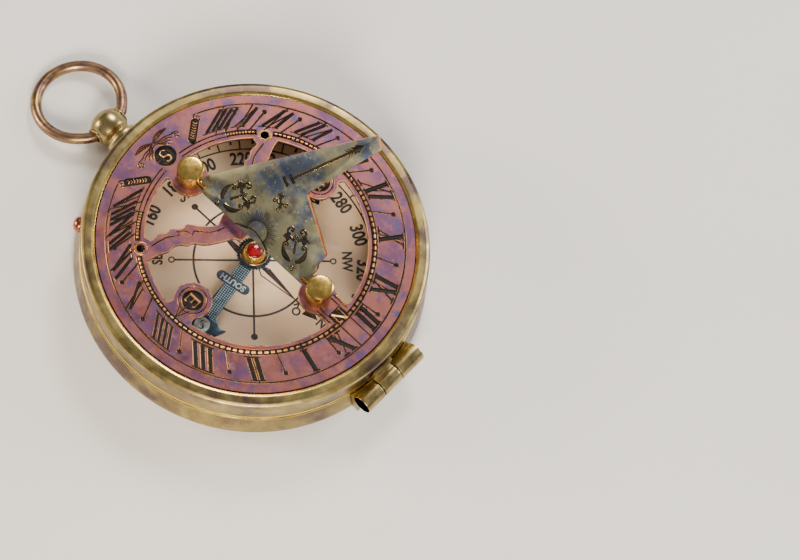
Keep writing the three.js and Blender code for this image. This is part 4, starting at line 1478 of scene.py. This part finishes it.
class SUNDIAL_OT_dial_etching(bpy.types.Operator):
    """Etch the dial: numerals, hour lines, chequered band, letters and sprays"""

    bl_idname = "sundial.dial_etching"
    bl_label = "Dial etching"

    def execute(self, context):
        sizes = context.scene.sundial_sizes
        dark = hour_marks(sizes) + noon_marks(sizes) + band_lines() + outer_circle(sizes) + rope_bars()
        dark += bracket_feathers() + letter_discs() + tab_lines() + north_box() + south_sprays()
        chequers = [line(sweep(BAND_MIDDLE, a, b, 3), 0.62) for a, b in chequer_cells()]
        bed = [line(sweep(BAND_MIDDLE, start, end), 0.9)
               for start, end in ((54, 306), (BAND_END, 46), (314, 360 - BAND_END))]
        rings = [line(arc(polar(SIGHT_R, side * SIGHT_ANGLE), 1.45, 0, 360, 36), 0.06) for side in (1, -1)]
        light = chequers + rope_twists()
        east = SIDE_X / MM
        for x, y, letter in ((east, 0, "E"), (-east, 0, "W"), (0, LETTER_S_Y, "S"), (0, LETTER_N_Y, "N")):
            light += placed(capital(letter), (x, y), 0, 2.9)
        edges = bars("dial_etching_edges", in_metres(dark + rings), LID_TOP, sizes.etch_edge * 2)
        finish(edges, "lid", "patina_copper", ["bare_copper"])
        wax = bars("dial_etching", in_metres(dark + bed), LID_TOP + 0.02 * MM)
        finish(wax, "lid", "patina_copper", ["etching_black"])
        raised = bars("dial_raised_marks", in_metres(light), LID_TOP + 0.065 * MM, flatness=0.08)
        finish(raised, "lid", "patina_copper", ["bare_copper"])
        return {"FINISHED"}


class SUNDIAL_OT_posts(bpy.types.Operator):
    """Turn the two posts, their nuts and the lid's stud"""

    bl_idname = "sundial.posts"
    bl_label = "Posts, nuts and stud"

    def execute(self, context):
        for pole, y in (("north", NORTH_Y), ("south", SOUTH_Y)):
            self.post(f"{pole}_post", y)
            self.nut(f"{pole}_nut", y)
        self.stud()
        return {"FINISHED"}

    def post(self, node, y):
        tail, foot, top = low(node).z, LID_TOP + 0.05 * MM, high(node).z
        stud, r = 1.25 * MM, radius(node)
        dome = [((r - 0.4 * MM) * sin(radians(a)), top - 0.16 * MM + 0.16 * MM * cos(radians(a)))
                for a in range(80, -1, -8)]
        post = turn(f"{node}_turned", [(0, tail), *rounded([
            (stud - 0.2 * MM, tail), (stud, tail + 0.2 * MM), (stud, foot), (r - 0.1 * MM, foot),
            (r, foot + 0.12 * MM),
            (r, top - 0.55 * MM), (r - 0.1 * MM, top - 0.3 * MM)], 0.1 * MM), *dome], centre=(0, y, 0),
            sides=96)
        side = 1 if y > 0 else -1
        mouth = y - side * r
        bore = round_bar("bore", 0.7 * MM, mouth - side * MM, mouth + side * 1.5 * MM,
                   centre=(0, 0, GNOMON_AXIS.z), axis="Y", sides=32)
        combine(post, bore, "DIFFERENCE")
        smooth(post)
        finish(post, "lid", "bright_brass", ["polished_brass"], node)

    def nut(self, node, y):
        bottom, top = low(node).z, high(node).z
        r, teeth = radius(node), 40
        outline = []
        for i in range(teeth):
            outline += [polar(r, 360 * (i + 0.2) / teeth), polar(r - 0.18 * MM, 360 * (i + 0.7) / teeth)]
        nut = flat_piece(f"{node}_knurled", outline, bottom, top)
        bore = round_bar("bore", 1.4 * MM, bottom - MM, top + MM, sides=48)
        combine(nut, bore, "DIFFERENCE")
        nut.data.materials.append(finish_named("polished_brass"))
        round_edges(nut, 0.07 * MM, 1)
        nut.location.y = y
        settle(nut)
        finish(nut, "lid", "bright_brass", ["polished_brass"], node)

    def stud(self):
        """A domed copper stud in the rim's side, 38 degrees from south towards east."""
        wall, r, rise = LID_R + 0.1 * MM, 1.75 * MM, 1.6 * MM
        height = (low("lid_stud").z + high("lid_stud").z) / 2
        dome = [(r * sin(radians(a)), -(wall + 0.35 * MM + (rise - 0.35 * MM) * cos(radians(a))))
                for a in range(90, -1, -9)]
        start = LID_R - 0.8 * MM
        stud = turn("lid_stud_dome", [(0, -start), (0.8 * MM, -start), (0.8 * MM, -wall), *rounded([
            (r - 0.1 * MM, -wall), (r, -(wall + 0.1 * MM))], 0.05 * MM), *dome], centre=(0, 0, height),
            axis="Y", sides=72)
        stud.rotation_euler.z = radians(38)
        settle(stud)
        finish(stud, "lid", "stud_copper", ["stud_copper"], "lid_stud")


class SUNDIAL_OT_gnomon(bpy.types.Operator):
    """Cut the gnomon leaf, etch it and fit its pins"""

    bl_idname = "sundial.gnomon"
    bl_label = "Gnomon"

    def execute(self, context):
        self.leaf_south = SOUTH_Y / MM + 2.95 + 0.3
        self.leaf_north = NORTH_Y / MM - 2.95 - 0.3
        self.leaf()
        self.etch()
        for pole, side, end in (("north", 1, self.leaf_north), ("south", -1, self.leaf_south)):
            self.pin(f"gnomon_{pole}_pin", side, end * MM)
        return {"FINISHED"}

    def raise_up(self, piece):
        """Takes a piece made flat, with the pins' axis on Y, to the gnomon's place."""
        piece.rotation_euler.y = GNOMON_RAISED
        piece.location = GNOMON_AXIS
        return settle(piece)

    def leaf(self):
        south, north, half = self.leaf_south, self.leaf_north, 0.6 * MM
        corners = [(1.2, south), (1.2, north), (-4, north), (-4.6, north - 0.5), (-7.7, north - 0.3),
                   (-15.3, 3),
                   (-34, 10.0), (-36, 7.6), (-3.1, south + 0.4), (-2.2, south)]
        outline = closed([(x * MM, y * MM) for x, y in corners], 0.5 * MM, 3)[:-1]
        leaf = flat_piece("gnomon_plate", outline, -half, half)
        leaf.data.materials.append(finish_named("gnomon_brass"))
        for end in (south, north):
            deselect_all()
            bpy.ops.mesh.primitive_cube_add(size=1, location=(0, end * MM, 0),
                                            scale=(1.3 * MM, 3 * MM, 4 * MM))
            slot_tool = name_active("pin_slot")
            settle(slot_tool)
            combine(leaf, slot_tool, "DIFFERENCE")
        round_edges(leaf, 0.1 * MM, 2)
        for name in ("blued_underside", "gnomon_edge"):
            leaf.data.materials.append(finish_named(name))
        paint_faces(leaf, 2, lambda c: abs(c.z) < half - 0.03 * MM)
        paint_faces(leaf, 1, lambda c: c.z < -half + 0.03 * MM)
        finish_names = ["gnomon_brass", "blued_underside", "gnomon_edge"]
        self.raise_up(leaf)
        finish(leaf, "gnomon", "gnomon_brass", finish_names, "gnomon_leaf")

    def etch(self):
        """Crescents and sprigs at both ends, a sun on the straight edge, and an arrow to the tip."""
        top = 0.6 * MM
        strokes = placed(crescent() + trefoil(), (-3.39, -8.95), 148, 0.96)
        strokes += placed(crescent() + trefoil(), (-4.07, 8.13), 208, 0.93)
        strokes += placed(flourish(), (-9.4, -0.3), 200, 1.05)
        along = (-0.905, 0.426)
        for step, half in ((14.2, 1.15), (15.6, 1.1)):
            x, y = -step, -2.2 + (step - 14.2) * 0.55
            strokes.append(line([(x - 0.426 * half, y - 0.905 * half), (x + 0.1, y),
                                 (x + 0.426 * half, y + 0.905 * half)], 0.72))
        start, end = (-15.9, -1.3), (-30.6, 5.9)
        strokes.append(line([start, end], 0.5))
        strokes += [line([(end[0] - along[0] * back, end[1] - along[1] * back),
                          (end[0] + along[0] * 2.0, end[1] + along[1] * 2.0)], 2.0 - 0.4 * back,
                          0.1) for back in (0, 0.8)]
        for back in (0.2, 0.9, 1.6):
            base = (end[0] - along[0] * back, end[1] - along[1] * back)
            for side in (1, -1):
                barb = (base[0] - along[0] * 1.1 - side * along[1] * 0.95,
                        base[1] - along[1] * 1.1 + side * along[0] * 0.95)
                strokes.append(line([base, barb], 0.3, 0.1))
        rays = sun_rays((-0.9, -0.6), 2.35, 4.7, 62, 298, 34)
        horizon = line(rounded([(1.1, -5.6), (0.3, -3.6), (-0.5, -2.2), (-0.6, -0.6), (0.0, 1.6),
                                (0.8, 3.6)], 1.2), 0.32, 0.26)
        fine = in_metres(rays + [horizon])
        halo = self.raise_up(bars("gnomon_etching_edges", in_metres(strokes), top, 0.13 * MM))
        finish(halo, "gnomon", "gnomon_brass", ["rubbed_brass"])
        wax = self.raise_up(bars("gnomon_etching", in_metres(strokes) + fine, top + 0.022 * MM))
        finish(wax, "gnomon", "gnomon_brass", ["etching_black"])

    def pin(self, node, side, end):
        inner, outer = end - side * 1.4 * MM, end + side * 1.6 * MM
        r = 0.6 * MM
        rod = turn(f"{node}_turned", [(0, inner), (r - 0.1 * MM, inner), (r, inner + side * 0.1 * MM),
                                      (r, outer - side * 0.1 * MM), (r - 0.1 * MM, outer), (0, outer)],
                   centre=(0, 0, GNOMON_AXIS.z), axis="Y", sides=32)
        finish(rod, "gnomon", "bright_brass", ["polished_brass"], node)


class SUNDIAL_OT_hinge(bpy.types.Operator):
    """Make the hinge: three knuckles and their pin"""

    bl_idname = "sundial.hinge"
    bl_label = "Hinge"

    def execute(self, context):
        for node, body in (("case_knuckle_west", "case"), ("lid_knuckle", "lid"),
                           ("case_knuckle_east", "case")):
            self.knuckle(node, body)
        x0, x1 = low("hinge_pin").x, high("hinge_pin").x
        r = 0.9 * MM
        pin = turn("hinge_pin_turned", [(0, x0 + 0.05 * MM), *rounded([
            (r - 0.3 * MM, x0), (r, x0 + 0.25 * MM), (r, x1 - 0.25 * MM), (r - 0.3 * MM, x1)], 0.1 * MM),
            (0, x1 - 0.05 * MM)], centre=HINGE_AXIS, axis="X", sides=48)
        finish(pin, "case", "bright_brass", ["polished_brass"], "hinge_pin")
        return {"FINISHED"}

    def knuckle(self, node, body):
        """A rolled barrel on the axis with the leaf that the frame gives it."""
        x0, x1 = low(node).x, high(node).x
        r, bore = 2.25 * MM, 1.0 * MM
        barrel = turn(f"{node}_barrel", closed([(bore, x0), (r, x0), (r, x1), (bore, x1)], 0.22 * MM, 4),
                      centre=HINGE_AXIS, axis="X", sides=72)
        leaf = self.leaf_of(node, r)
        piece = unite([barrel, leaf], f"{node}_rolled")
        finish(smooth(piece), body, "aged_brass", ["handled_brass"], node)

    def leaf_of(self, node, r):
        """The frame's own solid without its barrel, merged and with softened edges."""
        source = frame["nodes"][node]
        copy = source.copy()
        copy.data = source.data.copy()
        copy.parent = None
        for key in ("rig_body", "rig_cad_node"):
            del copy[key]
        bpy.context.scene.collection.objects.link(copy)
        copy.data.materials.clear()
        make_active(copy)
        start_edit()
        bpy.ops.mesh.remove_doubles(threshold=2 * MERGE)
        bpy.ops.mesh.dissolve_limited(angle_limit=radians(1))
        end_edit()
        cutter = round_bar("cutter", r - 0.12 * MM, -20 * MM, 20 * MM, centre=HINGE_AXIS, axis="X", sides=72)
        combine(copy, cutter, "DIFFERENCE")
        return round_edges(copy, 0.12 * MM, 2)


class SUNDIAL_OT_pendant(bpy.types.Operator):
    """Turn the pendant's collar and knob and bend its bow"""

    bl_idname = "sundial.pendant"
    bl_label = "Pendant and bow"

    def execute(self, context):
        z = BOW_AXIS.z
        centre_y = BOW_AXIS.y
        start = centre_y + 3.2 * MM
        neck = start + 0.6 * MM
        wall = neck + 1.8 * MM
        big, small, shank = radius_across("pendant_collar"), radius_across("pendant_knob"), 1.65 * MM
        collar = turn("pendant_collar_turned", closed([
            (shank, wall + 0.15 * MM), (shank, neck), (big - 0.5 * MM, neck),
            (big - 0.1 * MM, neck + 0.4 * MM),
            (big, neck + 0.9 * MM), (big - 0.1 * MM, neck + 1.5 * MM), (big - 0.5 * MM, wall + 0.1 * MM)],
            0.3 * MM, 4),
            centre=(0, 0, z), axis="Y", sides=96)
        finish(collar, "case", "aged_brass", ["handled_brass"], "pendant_collar")
        self.knob(z, start, neck, small)
        self.bow(z)
        return {"FINISHED"}

    def knob(self, z, start, neck, r):
        inner = radius("lid_rim") + 0.2 * MM - 1.3 * MM
        far = start - 6.4 * MM
        profile = [(0, -inner), *rounded([
            (1.5 * MM, -inner), (1.5 * MM, neck - 0.05 * MM), (3.2 * MM, neck - 0.05 * MM),
            (3.0 * MM, start + 0.2 * MM),
            (3.3 * MM, start - 0.25 * MM), (r - 0.35 * MM, start - 0.9 * MM), (r, start - 2.2 * MM),
            (r, start - 3.6 * MM), (r - 0.3 * MM, start - 4.7 * MM), (r - 1.3 * MM, start - 5.8 * MM),
            (r - 2.4 * MM, far)], 0.6 * MM, 5), (0, far)]
        knob = turn("pendant_ball", profile, centre=(0, 0, z), axis="Y", sides=96)
        bore = round_bar("bore", 1.45 * MM, -8 * MM, 8 * MM, centre=BOW_AXIS, axis="X", sides=48)
        combine(knob, bore, "DIFFERENCE")
        smooth(knob)
        beads = [turn("bead", closed([
            (1.45 * MM, side * 3.55 * MM), (2.15 * MM, side * 3.55 * MM), (2.15 * MM, side * 4.05 * MM),
            (1.45 * MM, side * 4.05 * MM)], 0.22 * MM, 4), centre=BOW_AXIS, axis="X",
            sides=48) for side in (1, -1)]
        piece = unite([knob, *beads], "pendant_ball")
        finish(piece, "case", "aged_brass", ["handled_brass"], "pendant_knob")

    def bow(self, z):
        """A ring of wire whose ends run into the knob, tipped so that its far side rests on the ground."""
        ring, wire_r, ball = 9.7 * MM, 1.25 * MM, 4.1 * MM
        drop = 2 * ring - 0.4 * MM
        centre = drop - ring
        half = [(ball - 1.3 * MM, 0), (ball + 0.3 * MM, 0.1 * MM)]
        for step in range(42, 180, 12):
            a = radians(step)
            half.append((ring * sin(a), centre - ring * cos(a)))
        points = [(x, -d) for x, d in half] + [(0, -drop)] + [(-x, -d) for x, d in reversed(half)]
        curve = bpy.data.curves.new("bow_wire", "CURVE")
        curve.dimensions = "3D"
        curve.bevel_depth = wire_r
        curve.bevel_resolution = 6
        curve.resolution_u = 8
        curve.use_fill_caps = True
        spline = add_spline(curve, "NURBS", points)
        spline.order_u = 4
        spline.use_endpoint_u = True
        piece = mesh_from(curve)
        piece.rotation_euler.x = asin((z - wire_r - 0.05 * MM) / drop)
        piece.location = BOW_AXIS
        settle(piece)
        finish(smooth(piece), "bow", "dark_brass", ["tarnished_wire"], "bow")


class SUNDIAL_OT_stage(bpy.types.Operator):
    """Set the floor, the lamps and the camera"""

    bl_idname = "sundial.stage"
    bl_label = "Stage"

    def execute(self, context):
        deselect_all()
        bpy.ops.mesh.primitive_plane_add(size=2.4)
        floor = name_active("floor")
        floor.data.materials.append(finish_named("studio_floor"))
        self.lamp("key_lamp", (0.42, 0.38, 0.42), 0.26, 8, "#FFF4E4")
        self.lamp("fill_lamp", (-0.55, 0.3, 0.3), 0.3, 3, "#EEF3FF")
        self.lamp("top_lamp", (-0.42, -0.22, 0.5), 0.22, 3, "#FFF8F0")
        self.lamp("low_lamp", (0.35, -0.5, 0.2), 0.2, 3, "#FFE9CC")
        world = bpy.data.worlds.new("studio")
        world.use_nodes = True
        sky = world.node_tree.nodes["Background"]
        sky.inputs["Color"].default_value = linear("#D9DADC")
        sky.inputs["Strength"].default_value = 0.34
        context.scene.world = world
        self.camera(context)
        return {"FINISHED"}

    def lamp(self, name, place, size, power, hex_colour):
        light = bpy.data.lights.new(name, "AREA")
        light.shape = "DISK"
        light.size = size
        light.energy = power
        light.color = linear(hex_colour)[:3]
        lamp = bpy.data.objects.new(name, light)
        lamp.location = place
        aim = Vector((0, 0, 0.01)) - Vector(place)
        lamp.rotation_euler = aim.to_track_quat("-Z", "Y").to_euler()
        bpy.context.scene.collection.objects.link(lamp)

    def camera(self, context):
        """Above and to the east-north-east, rolled so that north points right and down."""
        azimuth, elevation, roll = radians(112.65), radians(67.44), radians(21.348)
        aim, distance = Vector((-15.508, 28.073, 16)) * MM, 478.6 * MM
        back = Vector((sin(azimuth) * cos(elevation), -cos(azimuth) * cos(elevation), sin(elevation)))
        level = Vector((cos(azimuth), sin(azimuth), 0))
        upright = back.cross(level)
        right = cos(roll) * level + sin(roll) * upright
        up = -sin(roll) * level + cos(roll) * upright
        data = bpy.data.cameras.new("camera")
        data.lens = context.scene.sundial_sizes.lens
        data.sensor_width = 36
        data.clip_start = 0.01
        camera = bpy.data.objects.new("camera", data)
        camera.matrix_world = Matrix((right, up, back)).transposed().to_4x4()
        camera.location = aim + back * distance
        context.scene.collection.objects.link(camera)
        context.scene.camera = camera


STEPS = (SUNDIAL_OT_case, SUNDIAL_OT_card, SUNDIAL_OT_window, SUNDIAL_OT_needle, SUNDIAL_OT_lid_rim,
         SUNDIAL_OT_dial_plate, SUNDIAL_OT_dial_etching, SUNDIAL_OT_posts, SUNDIAL_OT_gnomon,
         SUNDIAL_OT_hinge, SUNDIAL_OT_pendant, SUNDIAL_OT_stage)


class SUNDIAL_PT_panel(bpy.types.Panel):
    """Buttons for each group of pieces"""

    bl_label = "Pocket Sundial"
    bl_idname = "SUNDIAL_PT_panel"
    bl_space_type = "VIEW_3D"
    bl_region_type = "UI"
    bl_category = "Sundial"

    def draw(self, context):
        for step in STEPS:
            self.layout.operator(step.bl_idname)


CLASSES = (SundialSizes, SundialColours, *STEPS, SUNDIAL_PT_panel)


def register():
    for item in CLASSES:
        bpy.utils.register_class(item)
    bpy.types.Scene.sundial_sizes = bpy.props.PointerProperty(type=SundialSizes)
    bpy.types.Scene.sundial_colours = bpy.props.PointerProperty(type=SundialColours)


def unregister():
    del bpy.types.Scene.sundial_colours
    del bpy.types.Scene.sundial_sizes
    for item in reversed(CLASSES):
        bpy.utils.unregister_class(item)


def main():
    register()
    for step in STEPS:
        group, name = step.bl_idname.split(".")
        getattr(getattr(bpy.ops, group), name)()


if __name__ == "__main__":
    main()
